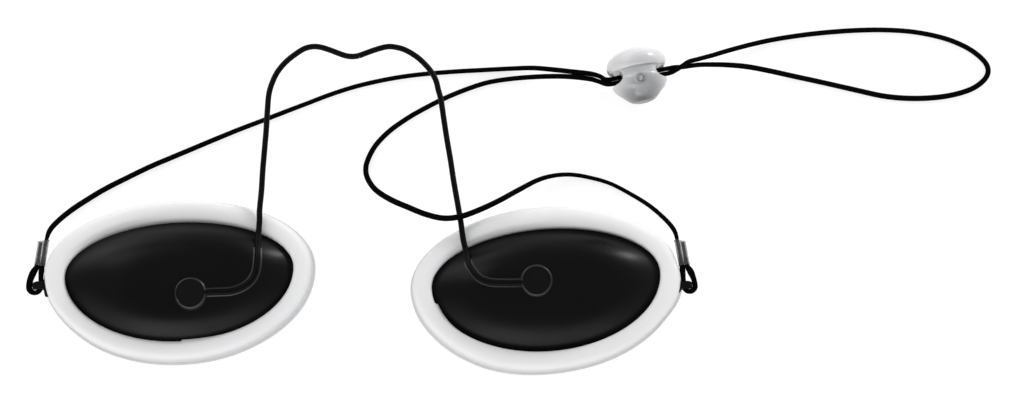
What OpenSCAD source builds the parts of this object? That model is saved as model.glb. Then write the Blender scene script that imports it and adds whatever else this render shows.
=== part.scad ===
// Patient eye shields: two opaque eye cups with soft seals on a bendable wire bridge,
// held on the head by a round elastic cord with a spring lock.
// The assembly lies on its seals, on the plane z = 0, as it lies on a table.

/* [Cup outline] */
// Half width of a cup over its seal
cup_half_w = 30.3; // [27:0.1:34]
// Depth of a cup above its widest chord
cup_upper = 16.3; // [14:0.1:19]
// Depth of a cup below its widest chord
cup_lower = 20.8; // [18:0.1:24]

/* [Cup places] */
// Middle of the left cup's widest chord, across
left_cup_x = -40.8; // [-43:0.1:-40]
// Middle of the left cup's widest chord, up the face
left_cup_y = -14.1; // [-17:0.1:-12]
// Turn of the left cup about the vertical
left_tilt = 2.8; // [0:0.1:6]
// Middle of the right cup's widest chord, across
right_cup_x = 41; // [40:0.1:43]
// Middle of the right cup's widest chord, up the face
right_cup_y = -16.1; // [-18:0.1:-14]
// Turn of the right cup about the vertical
right_tilt = 4.6; // [2:0.1:8]
// Shift of the left shell across its seal
left_shell_x = 0.4; // [-0.6:0.1:0.6]
// Shift of the left shell up its seal
left_shell_y = -0.6; // [-0.7:0.1:0.4]
// Shift of the right shell across its seal
right_shell_x = 0; // [-0.6:0.1:0.6]
// Shift of the right shell up its seal
right_shell_y = -0.4; // [-0.7:0.1:0.4]

/* [Seal] */
// Width of the seal seen from the front
seal_w = 4.9; // [4.6:0.1:6]
// Height of the seal's crest above the face
seal_h = 7.2; // [7:0.1:8.5]
// How far the groove reaches in from the seal's inner lip
groove_d = 2.5; // [1.8:0.1:2.8]
// Gap between the flange and the walls of its groove
groove_gap = 0.05; // [0.03:0.01:0.1]

/* [Shell] */
// Thickness of the domed wall
shell_wall = 1.3; // [1.1:0.1:1.6]
// Height of the flange's underside
flange_z = 4.1; // [3.6:0.1:4.4]
// Thickness of the flange
flange_t = 1.4; // [1:0.1:1.6]
// Height of the dome above its flange
dome_rise = 6.5; // [5:0.1:8]
// Fullness of the dome, where 2 is round and more is flatter on top
dome_power = 3.4; // [2.6:0.1:4.5]

/* [Lugs] */
// Distance of the cord hole past the seal's widest point
lug_reach = 0.2; // [0.15:0.05:0.8]
// Wall between the cord hole and the tip of the lug
lug_tip = 1.2; // [1.1:0.1:1.6]
// Length of the cord hole
lug_len = 1.7; // [1.4:0.1:2.2]
// Height of the eye of the lug
lug_h = 2.4; // [2.1:0.1:3]
// Width of the lug's web where it leaves the seal
web_w = 5.6; // [4:0.1:8]
// Radial gap between the cord and the lug's hole
lug_gap = 0.1; // [0.05:0.01:0.2]
// Drop of the left lug below its cup's widest chord
left_lug_drop = 2; // [1.5:0.1:5]
// Drop of the right lug below its cup's widest chord
right_lug_drop = 3.9; // [1.5:0.1:5]

/* [Bridge wire] */
// Diameter of the bare wire
wire_d = 0.8; // [0.6:0.05:1]
// Wall of the sleeve over the wire
sleeve_wall = 0.23; // [0.15:0.01:0.35]
// Radial gap between the wire and its sleeve
wire_gap = 0.02; // [0.01:0.01:0.05]
// Height of the bridge above the face
bridge_z = 8; // [7:0.1:9.5]
// Rise of the wire's centre above the dome that it lies in
wire_rise = 0.05; // [0:0.05:0.3]
// Gap under the wire where it crosses the seal
wire_over_seal = 0.35; // [0.2:0.05:0.8]
// Gap between the sleeve and its channel in the dome
channel_gap = 0.05; // [0.03:0.01:0.1]

/* [Wire pads] */
// Diameter of the round pad on each end of the wire
pad_d = 6.3; // [5.5:0.1:7]
// Thickness of the pad
pad_t = 0.9; // [0.8:0.05:1.1]
// Radial gap between the pad and its seat
pad_gap = 0.05; // [0.03:0.01:0.1]
// Height of the lip round the pad's seat, over the pad's underside
lip_h = 0.9; // [0.7:0.05:1.1]
// Width of the lip round the pad's seat
lip_w = 0.35; // [0.25:0.05:0.6]
// Depth of the blind hole in the pad that takes the wire's end
pad_hole_l = 1.6; // [1:0.1:2.4]

/* [Cord] */
// Diameter of the elastic cord
cord_d = 1.05; // [0.9:0.01:1.1]
// Wall of the clear sleeve that closes each cord eye
crimp_wall = 0.15; // [0.1:0.01:0.2]
// Length of the clear sleeve
crimp_len = 5.6; // [4.5:0.1:6.5]
// Distance from the cord hole to the start of the clear sleeve
crimp_start = 4.5; // [4.3:0.1:5.5]
// Offset of the left clear sleeve outwards from the cord hole
left_out = 0.2; // [0.1:0.05:1]
// Offset of the right clear sleeve outwards from the cord hole
right_out = 0.5; // [0.3:0.05:1]
// Lean of the left clear sleeve towards the cup
left_lean = 10; // [6:1:14]
// Lean of the right clear sleeve towards the cup
right_lean = 5; // [2:1:12]
// Slack of the left cord eye round its lug
left_slack = 0.25; // [0.05:0.05:0.4]
// Slack of the right cord eye round its lug
right_slack = 0.1; // [0.05:0.05:0.4]

/* [Cord lock] */
// Middle of the lock, across
lock_x = 61.9; // [61:0.1:63]
// Middle of the lock, up the face
lock_y = 29.6; // [29:0.1:30]
// Turn of the lock's cord passage about the vertical
lock_turn = 10.7; // [8:0.1:13]
// Largest radius of the lock's body
lock_r = 6.3; // [6.1:0.1:6.6]
// Largest radius of the lock's cap
cap_r = 6.8; // [6.5:0.1:7]
// Distance from the cord passage to the foot of the body
lock_foot = 6; // [5.8:0.1:6.4]
// Radius of the flat foot
foot_r = 1.7; // [1.4:0.1:2]
// Distance from the cord passage to the top of the cap
cap_top = 6.5; // [6.3:0.1:7]
// Distance from the cord passage to the rim of the cap
cap_rim = 1.3; // [1.2:0.1:1.6]
// Travel of the plunger
plunger_travel = 1.2; // [0.8:0.1:1.2]
// Radius of the plunger's stem
stem_r = 3.2; // [3:0.1:3.3]
// Radial gap between the stem and its bore, and between the neck and the cap
slide_gap = 0.15; // [0.1:0.01:0.2]
// Radius of the body's neck, which the cap slides over
neck_r = 5.8; // [5.5:0.1:5.9]
// Radius of the cord passage through the body
passage_r = 1.25; // [1.2:0.05:1.4]
// Radius of the notch on each side of the body, where the cord comes out
notch_r = 1.6; // [1.4:0.05:1.7]
// Wall between the plunger's bore and each notch
notch_wall = 0.4; // [0.2:0.05:0.6]
// Radius of the round window in the front of the body
window_r = 1.25; // [1.2:0.05:1.5]
// Distance from the cord passage down to the middle of the window
window_drop = 1.6; // [1.2:0.1:1.8]
// Radius of the stud in the window
stud_r = 0.4; // [0.3:0.05:0.5]
// Distance from the stud's end back to the neck's outside
stud_short = 0.3; // [0.3:0.1:1]
// Thickness of the body's floor
lock_floor = 1.3; // [1.2:0.1:1.5]
// Thickness of the cap's roof
roof_t = 2.8; // [2.7:0.1:3.2]
// Clearance left at each end of the plunger's travel
end_gap = 0.2; // [0.1:0.05:0.3]
// Gap between the strands and the stem's slot
slot_gap = 0.12; // [0.08:0.01:0.15]
// Depth of the spring's recess in the stem
recess_h = 1.3; // [1.2:0.1:1.5]
// Diameter of the spring's wire
spring_wire = 0.4; // [0.3:0.05:0.45]
// Gap between the spring and each of its seats
spring_gap = 0.03; // [0.02:0.01:0.1]
// Mean radius of the spring
spring_r = 2; // [1.8:0.1:2.1]
// Turns of the spring
spring_turns = 2.5; // [1.5:0.5:2.5]

/* [Hidden] */

// Colours
black_shell = "#161617";
white_seal = "#e9e9ea";
black_wire = "#131315";
bare_wire = "#b9b7b2";
black_cord = "#0f0f10";
clear_plastic = "#a9abad";
milky_plastic = "#d9d9de";

// Counts
outline_n = 64;
tube_n = 8;
wire_steps = 2;
fine = 64;
small = 0.01;

// Names of the two sides
LEFT = 0;
RIGHT = 1;
cup_at = [[left_cup_x, left_cup_y], [right_cup_x, right_cup_y]];
cup_tilt = [left_tilt, right_tilt];
shell_shift = [[left_shell_x, left_shell_y], [right_shell_x, right_shell_y]];
lug_drop = [left_lug_drop, right_lug_drop];
crimp_out = [left_out, right_out];
crimp_lean = [left_lean, right_lean];
eye_slack = [left_slack, right_slack];
outward = [-1, 1];

// Radii and heights that follow from the sizes
cord_r = cord_d / 2;
wire_r = wire_d / 2;
sleeve_in_r = wire_r + wire_gap;
sleeve_r = sleeve_in_r + sleeve_wall;
flange_top = flange_z + flange_t;
flange_inset = seal_w - groove_d + groove_gap;
lug_z = flange_z + flange_t / 2;
hole_r = cord_r + lug_gap;
hole_x = cup_half_w + lug_reach;
tip_r = lug_tip / 2;
crimp_r = cord_r + small;
pad_r = pad_d / 2;
seat_r = pad_r + pad_gap;

// Outline of a cup, drawn in by inset: two half ellipses joined at the widest chord
function egg_depth(y, inset) = (y > 0 ? cup_upper : cup_lower) - inset;
function egg(inset, share, z, shift = [0, 0]) = [for (i = [0 : outline_n - 1])
    let (a = 360 * i / outline_n)
    [share * (cup_half_w - inset) * cos(a) + shift.x,
        share * egg_depth(sin(a), inset) * sin(a) + shift.y, z]];

// Height of the dome's outside over a place in a cup's own frame
function dome_share(q) =
    min(1, norm([q.x / (cup_half_w - seal_w), q.y / egg_depth(q.y, seal_w)]));
function dome_fall(share) = 1 - pow(share, dome_power);
function dome_z(side, q) = flange_top + dome_rise * dome_fall(dome_share(q - shell_shift[side]));

// A place in a cup's own frame, given in the assembly's frame
function turned(p, a) = [p.x * cos(a) - p.y * sin(a), p.x * sin(a) + p.y * cos(a)];
function on_cup(side, q) = cup_at[side] + turned(q, cup_tilt[side]);

// Smooth curve through points, with steps to each span
function spline(a, b, c, d, t) = 0.5 * ((2 * b) + (c - a) * t + (2 * a - 5 * b + 4 * c - d) * t * t
    + (3 * b - a - 3 * c + d) * t * t * t);
function smooth(p, steps) = [for (i = [0 : len(p) - 2], k = [0 : steps - 1])
    spline(p[max(i - 1, 0)], p[i], p[i + 1], p[min(i + 2, len(p) - 1)], k / steps), p[len(p) - 1]];

// Rings of a tube along a path that is nowhere upright
function unit(v) = v / norm(v);
function heading(p, i) = unit(p[min(i + 1, len(p) - 1)] - p[max(i - 1, 0)]);
function ring(p, i, r, n) =
    let (t = heading(p, i), s = unit(cross(t, [0, 0, 1])), u = cross(s, t))
    [for (k = [0 : n - 1]) p[i] + r * (cos(360 * k / n) * s + sin(360 * k / n) * u)];
function rings(p, r, n, from, to) = [for (i = [from : to]) each ring(p, i, r, n)];

// Triangles between ring a and ring b of n points, and over one ring
function band(a, b, n) = [for (k = [0 : n - 1]) let (j = (k + 1) % n)
    each [[a + k, a + j, b + j], [a + k, b + j, b + k]]];
function cap(a, n) = [for (k = [1 : n - 2]) [a, a + k + 1, a + k]];
function cap_back(a, n) = [for (k = [1 : n - 2]) [a, a + k, a + k + 1]];

// Solid tube along a stretch of a path, square to the whole path at both ends
module tube(p, r, from, to, n = tube_n) {
    m = to - from + 1;
    polyhedron(rings(p, r, n, from, to), concat(
        cap(0, n),
        [for (i = [0 : m - 2]) each band(i * n, (i + 1) * n, n)],
        cap_back((m - 1) * n, n)));
}

// Hollow tube along a stretch of a path
module pipe(p, r_out, r_in, from, to, n = tube_n) {
    m = to - from + 1;
    inner = m * n;
    polyhedron(concat(rings(p, r_out, n, from, to), rings(p, r_in, n, from, to)), concat(
        band(inner, 0, n),
        [for (i = [0 : m - 2]) each band(i * n, (i + 1) * n, n)],
        [for (i = [0 : m - 2]) each band(inner + (i + 1) * n, inner + i * n, n)],
        band((m - 1) * n, inner + (m - 1) * n, n)));
}

// Closed loop of outlines, each joined to the next and the last to the first
module outline_ring(outlines) {
    m = len(outlines);
    n = outline_n;
    polyhedron([for (o = outlines) each o],
        [for (i = [0 : m - 1]) each band(((i + 1) % m) * n, i * n, n)]);
}

// Stack of outlines between two poles
module outline_skin(top_pole, outlines, low_pole) {
    m = len(outlines);
    n = outline_n;
    polyhedron(concat([for (o = outlines) each o], [top_pole, low_pole]), concat(
        [for (k = [0 : n - 1]) [m * n, (k + 1) % n, k]],
        [for (i = [0 : m - 2]) each band(i * n, (i + 1) * n, n)],
        [for (k = [0 : n - 1]) [m * n + 1, (m - 1) * n + k, (m - 1) * n + (k + 1) % n]]));
}

// Places children given in a cup's own frame
module in_cup(side) translate(cup_at[side]) rotate(cup_tilt[side]) children();
module to_outside(side) mirror([side == LEFT ? 1 : 0, 0, 0]) children();

// Route of the wire over each cup, from the pad outwards, in the cup's own frame
pad_at = [[3.5, -6.3], [-2.2, -1.2]];
dome_route = [
    [[6.7, -6.3], [9.6, -6.3], [12.4, -6.2], [14.8, -5.4], [16.5, -4.2], [17.6, -2.6],
        [18.1, -0.8], [18.3, 1.4], [18.3, 3.6]],
    [[-5.4, -1.4], [-7.6, -1.3], [-9.7, -1.1], [-11.4, -0.9], [-12.9, -0.5], [-14.4, 0.3],
        [-15.5, 1.5], [-16.6, 3.5], [-17, 5]]];
rim_route = [
    [[18.5, 6.9], [18.8, 9.8], [18.9, 12.2]],
    [[-17.2, 7.3], [-17.6, 10], [-17.8, 13.6], [-18.1, 17]]];
// Route of the bridge from the left leg's top to the right leg's top
bridge_route = [[-22.2, 3.4], [-22, 8], [-21.7, 12.5], [-21.4, 17], [-21.2, 21.6], [-20.9, 25.5],
    [-20, 28.5], [-18.8, 30.8], [-16.8, 33.1], [-13.9, 35.3], [-12.3, 36], [-10.8, 36.2],
    [-9.3, 36], [-7.4, 35.4], [-5.6, 34.7], [-3.9, 34.1], [-2.4, 33.9], [-0.9, 34.1], [0.7, 34.7],
    [2.6, 35.4], [4.6, 36], [6.1, 36.2], [7.6, 36], [9.3, 35.5], [11.3, 34.4], [13.1, 33],
    [15.1, 30.8], [16.4, 28.5], [17, 26.2], [17.6, 23.9], [18.3, 19.3], [19, 14.8], [19.8, 10.2],
    [20.5, 5.6]];
// Places in the bridge route where each bend zone starts
left_bend_i = 10;
centre_bend_i = 15;
right_bend_i = 20;

over_seal_z = seal_h + wire_over_seal + sleeve_r;
function on_dome(side) = [for (q = dome_route[side])
    concat(on_cup(side, q), max(dome_z(side, q) + wire_rise, over_seal_z))];
function over_rim(side) = [for (q = rim_route[side]) concat(on_cup(side, q), over_seal_z)];
function reversed(p) = [for (i = [len(p) - 1 : -1 : 0]) p[i]];
left_leg_pts = concat(on_dome(LEFT), over_rim(LEFT));
right_leg_pts = concat(on_dome(RIGHT), over_rim(RIGHT));
bridge_pts = [for (p = bridge_route) concat(p, bridge_z)];
wire_curve = smooth(concat(left_leg_pts, bridge_pts, reversed(right_leg_pts)), wire_steps);
// The bare wire goes on past its sleeve, into the hole in each pad
function wire_tip(side, end) = concat(on_cup(side, dome_route[side][0] + [outward[side]
    * (pad_hole_l - small), 0]), end.z);
left_end = wire_curve[0];
right_end = wire_curve[len(wire_curve) - 1];
wire_line = concat([wire_tip(LEFT, left_end)], wire_curve, [wire_tip(RIGHT, right_end)]);
wire_last = len(wire_line) - 1;
// Numbers of the rings where the wire passes from one body to the next
bridge_start = len(left_leg_pts);
cuts = [0, for (i = [left_bend_i, left_bend_i + 2, centre_bend_i, centre_bend_i + 2,
    right_bend_i, right_bend_i + 2]) 1 + (bridge_start + i) * wire_steps, wire_last];
channel_ring = [1 + len(dome_route[LEFT]) * wire_steps,
    wire_last - 1 - len(dome_route[RIGHT]) * wire_steps];

// Route points of the free cord, chosen by hand, from the clear sleeve to the lock
left_route = [[-69.7, -4.9, 3.9], [-67.9, -2.3, 2.5], [-65, 0.5, 1.2], [-61.5, 3, 0.6],
    [-57.9, 5.2, 0.55], [-53.3, 7.6, 0.55], [-48.3, 10.1, 0.55], [-43.3, 12.3, 0.55],
    [-38.2, 14.5, 0.55], [-33.1, 16.7, 0.55], [-28.1, 18.8, 0.55], [-23, 20.8, 0.55],
    [-18, 22.8, 0.55], [-12.9, 24.8, 0.55], [-7.8, 26.8, 0.55], [-2.7, 28.5, 0.55],
    [2.4, 29.8, 0.55], [7.5, 30.8, 0.55], [12.6, 31.5, 0.55], [19.4, 32.1, 0.55],
    [26.2, 32.5, 0.55], [33, 32.8, 0.8], [38.2, 32.7, 1.9], [43.2, 31.9, 3.5], [47.2, 31.1, 5],
    [51, 30.4, 6.1], [53.1, 29.7, 6.7]];
right_route = [[69.7, -5, 4.2], [67.8, -2.3, 2.9], [64.4, 1, 1.6], [60.1, 3.9, 0.8],
    [55.6, 6.3, 0.55], [51.2, 7.6, 0.6], [47, 8.2, 1.1], [43.2, 7.8, 2.3], [39.4, 6.5, 3.8],
    [34.8, 3.7, 6], [30.4, 0.9, 8], [26, -1.4, 9.3], [22, -2.9, 9.8], [18.2, -3.2, 9.6],
    [14.2, -2.1, 8.6], [10.2, -0.2, 6.9], [6.4, 1.8, 4.9], [3, 4.3, 2.9], [1.1, 7, 1.5],
    [0.5, 9.4, 0.9], [1, 11.9, 0.6], [2.7, 15.1, 0.55], [5.7, 18.3, 0.55], [9.2, 20.9, 0.55],
    [12.6, 23, 0.55], [17.7, 25.7, 0.55], [22.8, 27.9, 0.55], [27.9, 29.6, 0.55],
    [33, 30.4, 0.8], [38.2, 30.6, 1.9], [43.2, 30.4, 3.5], [47.2, 29.9, 5], [51, 29.2, 6],
    [52.8, 28.6, 6.4]];
bight_route = [[70.2, 31.8, 6.4], [71.8, 31.9, 6.2], [73.5, 32.2, 6], [75.9, 32.6, 5.5],
    [79, 32.8, 4.8], [82, 32.9, 4.1], [86.5, 32.8, 2.9], [91.4, 32.2, 1.7], [97.8, 31, 0.7],
    [104.6, 29.5, 0.55], [111.4, 27.9, 0.55], [118.2, 26.4, 0.55], [125, 25.9, 0.55],
    [131.8, 26.4, 0.55], [137.4, 27.9, 0.55], [140.7, 30.1, 0.55], [141.8, 32.4, 0.55],
    [140.8, 34.8, 0.55], [137.4, 37.6, 0.55], [132.2, 39.9, 0.55], [125.4, 41.4, 0.55],
    [118.6, 41.9, 0.55], [111.8, 41.8, 0.55], [105, 41.3, 0.55], [99, 40.6, 0.55],
    [93, 39.6, 0.7], [87.6, 38.2, 1.5], [82.3, 36.4, 3.1], [78.8, 35, 4.6], [75.8, 33.9, 5.9],
    [73.3, 33, 6.8], [71.8, 31.9, 7.4], [70.4, 31, 7.3]];

// The lock's own frame has its plunger along z and its cord passage along x
table_gap = 0.05;
lock_z = max(lock_r, cap_r) + table_gap;
strand_off = cord_r + 0.02;
strand_half = 7;
strand_step = 3.5;
module in_lock() translate([lock_x, lock_y, lock_z]) rotate(lock_turn) rotate([-90, 0, 0])
    children();
function lock_point(u, v) = concat([lock_x, lock_y] + turned([u, v], lock_turn), lock_z);

// Cord eye in a cup's own frame, drawn for the right-hand side: the tail end in the clear
// sleeve, round the tip of the lug, through its hole and back through the sleeve
function leaned(side, u, v) =
    [crimp_out[side], crimp_start] + turned([u, v], crimp_lean[side]);
function loop_r(side) = (hole_r + lug_tip + eye_slack[side] + cord_r) / 2;
loop_low = tip_r - lug_len / 2;
tail_short = 0.4;
function bow(a, b, t) = [a.x + (b.x - a.x) * (1 - cos(90 * t)), a.y + (b.y - a.y) * t];
function eye_route(side) = let (outer = leaned(side, strand_off, 0), r = loop_r(side),
    inner = leaned(side, -strand_off, 0), low = [2 * r, loop_low], high = [0, lug_len / 2])
    concat([for (v = [crimp_len - tail_short, crimp_len / 2]) leaned(side, strand_off, v)],
        [outer, bow(low, outer, 2 / 3), bow(low, outer, 1 / 3)],
        [for (a = [0 : -30 : -180]) [r + r * cos(a), loop_low + r * sin(a)]],
        [high, bow(high, inner, 1 / 3), bow(high, inner, 2 / 3), inner],
        [for (v = [crimp_len / 2, crimp_len]) leaned(side, -strand_off, v)]);
function eye_place(side, q) = concat(
    on_cup(side, [outward[side] * (hole_x + q.x), q.y - lug_drop[side]]), lug_z);
function eye_pts(side) = [for (q = eye_route(side)) eye_place(side, q)];
function strand(from, step, off) =
    [for (u = [from : step : -from]) lock_point(u, off * strand_off)];
// The whole cord as one line, from one tail end round to the other
cord_parts = [eye_pts(LEFT), left_route, strand(-strand_half, strand_step, 1), bight_route,
    strand(strand_half, -strand_step, -1), reversed(right_route), reversed(eye_pts(RIGHT))];
cord_line = [for (c = cord_parts) each c];
function sum_to(i) = i < 0 ? 0 : len(cord_parts[i]) + sum_to(i - 1);
left_eye_end = sum_to(0) - 1;
left_lock_in = sum_to(1);
left_lock_out = sum_to(2) - 1;
right_lock_out = sum_to(3);
right_lock_in = sum_to(4) - 1;
right_eye_end = sum_to(5);

// Section of the seal, from the land outwards: distance in from the outline, height, and the
// share of the shell's shift that the point takes
function seal_section() = [[1.4, 0, 0], [0.3, 0.5, 0], [0, 1.2, 0], [0.5, 1.9, 0], [0.5, 3.2, 0],
    [0.55, 4.4, 0], [0.9, seal_h - 1.1, 0], [1.8, seal_h - 0.3, 0], [seal_w - 2, seal_h, 0.5],
    [seal_w - 0.9, seal_h - 0.15, 0.9], [seal_w - 0.2, seal_h - 0.5, 1],
    [seal_w, flange_top + groove_gap, 1], [flange_inset - groove_gap, flange_top + groove_gap, 1],
    [flange_inset - groove_gap, flange_z - groove_gap, 1], [seal_w + 0.3, flange_z - groove_gap, 1],
    [seal_w + 0.5, 2.9, 1], [seal_w + 0.1, 1.1, 1], [seal_w - 0.8, 0, 1]];
module seal(side) {
    color(white_seal) in_cup(side) difference() {
        outline_ring([for (s = seal_section()) egg(s[0], 1, s[1], s[2] * shell_shift[side])]);
        to_outside(side) translate([cup_half_w - seal_w, -lug_drop[side] - web_w / 2 - groove_gap,
            flange_z - groove_gap]) cube([seal_w * 2, web_w + 2 * groove_gap,
            flange_t + 2 * groove_gap]);
    }
}

// Shell: dome, flange in the seal's groove, seat for the pad, channel for the wire, and lug
skin_shares = [0.2, 0.4, 0.56, 0.69, 0.79, 0.87, 0.94];
inner_w = seal_w + shell_wall;
inner_rise = flange_top + dome_rise - shell_wall - flange_z;
module dome() {
    outline_skin([0, 0, flange_top + dome_rise], concat(
        [for (s = skin_shares) egg(seal_w, s, flange_top + dome_rise * dome_fall(s))],
        [egg(seal_w, 1, flange_top), egg(flange_inset, 1, flange_top),
            egg(flange_inset, 1, flange_z), egg(inner_w, 1, flange_z)],
        [for (s = reversed(skin_shares)) egg(inner_w, s, flange_z + inner_rise * dome_fall(s))]),
        [0, 0, flange_z + inner_rise]);
}
// The lug: a web through the seal and an eye with a rounded mouth for the cord
web_in = 0.6;
web_short = 0.8;
module lug(drop) {
    root_x = cup_half_w - seal_w + web_in;
    wide_x = cup_half_w - web_short;
    neck_x = hole_x - hole_r;
    translate([0, -drop, 0]) difference() {
        union() {
            translate([0, 0, flange_z]) linear_extrude(flange_t)
                polygon([[root_x, -web_w / 2], [wide_x, -web_w / 2], [neck_x, -lug_len / 2],
                    [hole_x, loop_low], [hole_x, lug_len / 2], [neck_x, lug_len / 2],
                    [wide_x, web_w / 2], [root_x, web_w / 2]]);
            intersection() {
                translate([hole_x, 0, lug_z]) rotate([-90, 0, 0]) rotate_extrude($fn = fine) {
                    translate([0, loop_low]) square([hole_r + lug_tip, lug_len - tip_r]);
                    translate([hole_r + tip_r, loop_low]) circle(tip_r, $fn = fine);
                }
                translate([neck_x, -lug_len, lug_z - lug_h / 2])
                    cube([2 * lug_tip + 2 * hole_r, 2 * lug_len, lug_h]);
            }
        }
        translate([hole_x, 0, lug_z]) rotate([90, 0, 0])
            cylinder(h = lug_len + 2, r = hole_r, center = true, $fn = fine);
    }
}
module pad_place(side) in_cup(side)
    translate([pad_at[side].x, pad_at[side].y, pad_low(side)]) children();
wire_end = [left_end, right_end];
function pad_low(side) = wire_end[side].z - pad_t / 2;
module shell(side) {
    color(black_shell) difference() {
        union() {
            in_cup(side) translate(shell_shift[side]) dome();
            in_cup(side) to_outside(side) lug(lug_drop[side]);
            pad_place(side) cylinder(h = lip_h, r = seat_r + lip_w, $fn = fine);
        }
        pad_place(side) cylinder(h = lip_h + pad_t, r = seat_r, $fn = fine);
        tube(wire_line, sleeve_r + channel_gap, side == LEFT ? 0 : channel_ring[RIGHT],
            side == LEFT ? channel_ring[LEFT] : wire_last);
    }
}

// Pad on the end of the wire, with a blind hole for the wire
module wire_pad(side) {
    color(black_wire) difference() {
        pad_place(side) cylinder(h = pad_t, r = pad_r, $fn = fine);
        translate(wire_end[side]) rotate(cup_tilt[side]) rotate([0, 90, 0])
            cylinder(h = pad_hole_l * 2, r = sleeve_in_r, center = true, $fn = fine);
    }
}

// The wire and its sleeve, cut into spans where the bridge bends
module bare(i) color(bare_wire) tube(wire_line, wire_r, cuts[i], cuts[i + 1]);
module sleeve(i) color(black_wire) pipe(wire_line, sleeve_r, sleeve_in_r, max(cuts[i], 1),
    min(cuts[i + 1], wire_last - 1));

// Stretches of the cord
module cord_run(from, to) color(black_cord) tube(cord_line, cord_r, from, to);
module cord_in_lock() {
    cord_run(left_lock_in, left_lock_out);
    cord_run(right_lock_out, right_lock_in);
}

// Clear sleeve over the two strands of a cord eye
module strand_pair(r, h) {
    for (s = [-1, 1]) translate([s * strand_off, 0, 0]) cylinder(h = h, r = r, $fn = fine);
    translate([-strand_off, -r, 0]) cube([2 * strand_off, 2 * r, h]);
}
module crimp(side) {
    color(clear_plastic) translate(eye_place(side, leaned(side, 0, 0)))
        rotate(cup_tilt[side] + outward[side] * crimp_lean[side]) rotate([-90, 0, 0])
        difference() {
            strand_pair(crimp_r + crimp_wall, crimp_len);
            translate([0, 0, -small]) strand_pair(crimp_r, crimp_len + 2 * small);
        }
}

// Cord lock: heights are above the middle of the cord passage, along the plunger
bore_r = stem_r + slide_gap;
cap_in_r = neck_r + slide_gap;
floor_z = -lock_foot + lock_floor;
stem_low = floor_z + plunger_travel + end_gap;
recess_top = stem_low + recess_h;
roof_z = cap_top - roof_t;
neck_top = roof_z - plunger_travel - end_gap;
slot_r = cord_r + slot_gap;
window_z = -window_drop;
notch_out = bore_r + notch_wall + notch_r;
shoulder_z = -0.1;
module notch_pair() {
    for (s = [-1, 1]) {
        translate([s * notch_out, 0, 0]) rotate([90, 0, 0])
            cylinder(h = lock_r * 3, r = notch_r, center = true, $fn = fine);
        translate([s * (notch_out + lock_r / 2), 0, 0])
            cube([lock_r, lock_r * 3, 2 * notch_r], center = true);
    }
}
module lock_body() {
    color(milky_plastic) in_lock() difference() {
        rotate_extrude($fn = fine) polygon([[0, -lock_foot], [foot_r, -lock_foot],
            [foot_r + 0.9, -lock_foot + 0.25], [foot_r + 1.8, -lock_foot + 0.9],
            [foot_r + 2.7, -lock_foot + 1.8], [lock_r - 1, -3.4], [lock_r - 0.4, -2.6],
            [lock_r - 0.1, -1.9], [lock_r, -1.3], [lock_r - 0.1, shoulder_z - 0.5],
            [neck_r, shoulder_z], [neck_r, neck_top], [bore_r, neck_top],
            [bore_r, floor_z], [0, floor_z]]);
        rotate([0, 90, 0]) cylinder(h = lock_r * 3, r = passage_r, center = true, $fn = fine);
        notch_pair();
        translate([0, 0, window_z]) rotate([90, 0, 0])
            cylinder(h = lock_r * 2, r = window_r, $fn = fine);
    }
}
module stem_slot() {
    low = -strand_off;
    high = strand_off + plunger_travel;
    for (z = [low, high]) translate([0, 0, z]) rotate([0, 90, 0])
        cylinder(h = lock_r * 3, r = slot_r, center = true, $fn = fine);
    translate([-lock_r * 1.5, -slot_r, low]) cube([lock_r * 3, 2 * slot_r, high - low]);
}
module lock_plunger() {
    color(milky_plastic) in_lock() difference() {
        union() {
            rotate_extrude($fn = fine) polygon([[0, stem_low], [stem_r, stem_low],
                [stem_r, roof_z], [cap_in_r, roof_z], [cap_in_r, cap_rim],
                [cap_r - 0.3, cap_rim], [cap_r, cap_rim + 0.7], [cap_r - 0.1, cap_rim + 1.8],
                [cap_r - 0.5, cap_top - 2.4], [cap_r - 1.4, cap_top - 1.5],
                [cap_r - 2.9, cap_top - 0.7], [cap_r - 4.6, cap_top - 0.15], [0, cap_top]]);
            translate([0, 0, window_z + plunger_travel / 2]) rotate([90, 0, 0])
                cylinder(h = neck_r - stud_short, r = stud_r, $fn = fine);
        }
        stem_slot();
        translate([0, 0, stem_low - 1]) cylinder(h = recess_h + 1,
            r = spring_r + spring_wire / 2 + slide_gap, $fn = fine);
        for (s = [-1, 1]) translate([s * cap_r, 0, cap_rim])
            cube([cap_r / 2 + 1, 2 * passage_r, 2 * plunger_travel], center = true);
    }
}

// Coil spring between the body's floor and the stem's recess
spring_low = floor_z + spring_wire / 2 + spring_gap;
spring_high = recess_top - spring_wire / 2 - spring_gap;
ring_turn = 45;
spring_rings = spring_turns * 360 / ring_turn;
spring_pts = [for (i = [0 : spring_rings]) let (a = ring_turn * i)
    [spring_r * cos(a), spring_r * sin(a), spring_low + (spring_high - spring_low) * i / spring_rings]];
module lock_spring() {
    color(bare_wire) in_lock() tube(spring_pts, spring_wire / 2, 0, spring_rings, 6);
}
echo(spring_gap_least = min([for (i = [0 : spring_rings], j = [0 : spring_rings])
    if (abs(i - j) > 4) norm(spring_pts[i] - spring_pts[j])]) - spring_wire);

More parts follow.
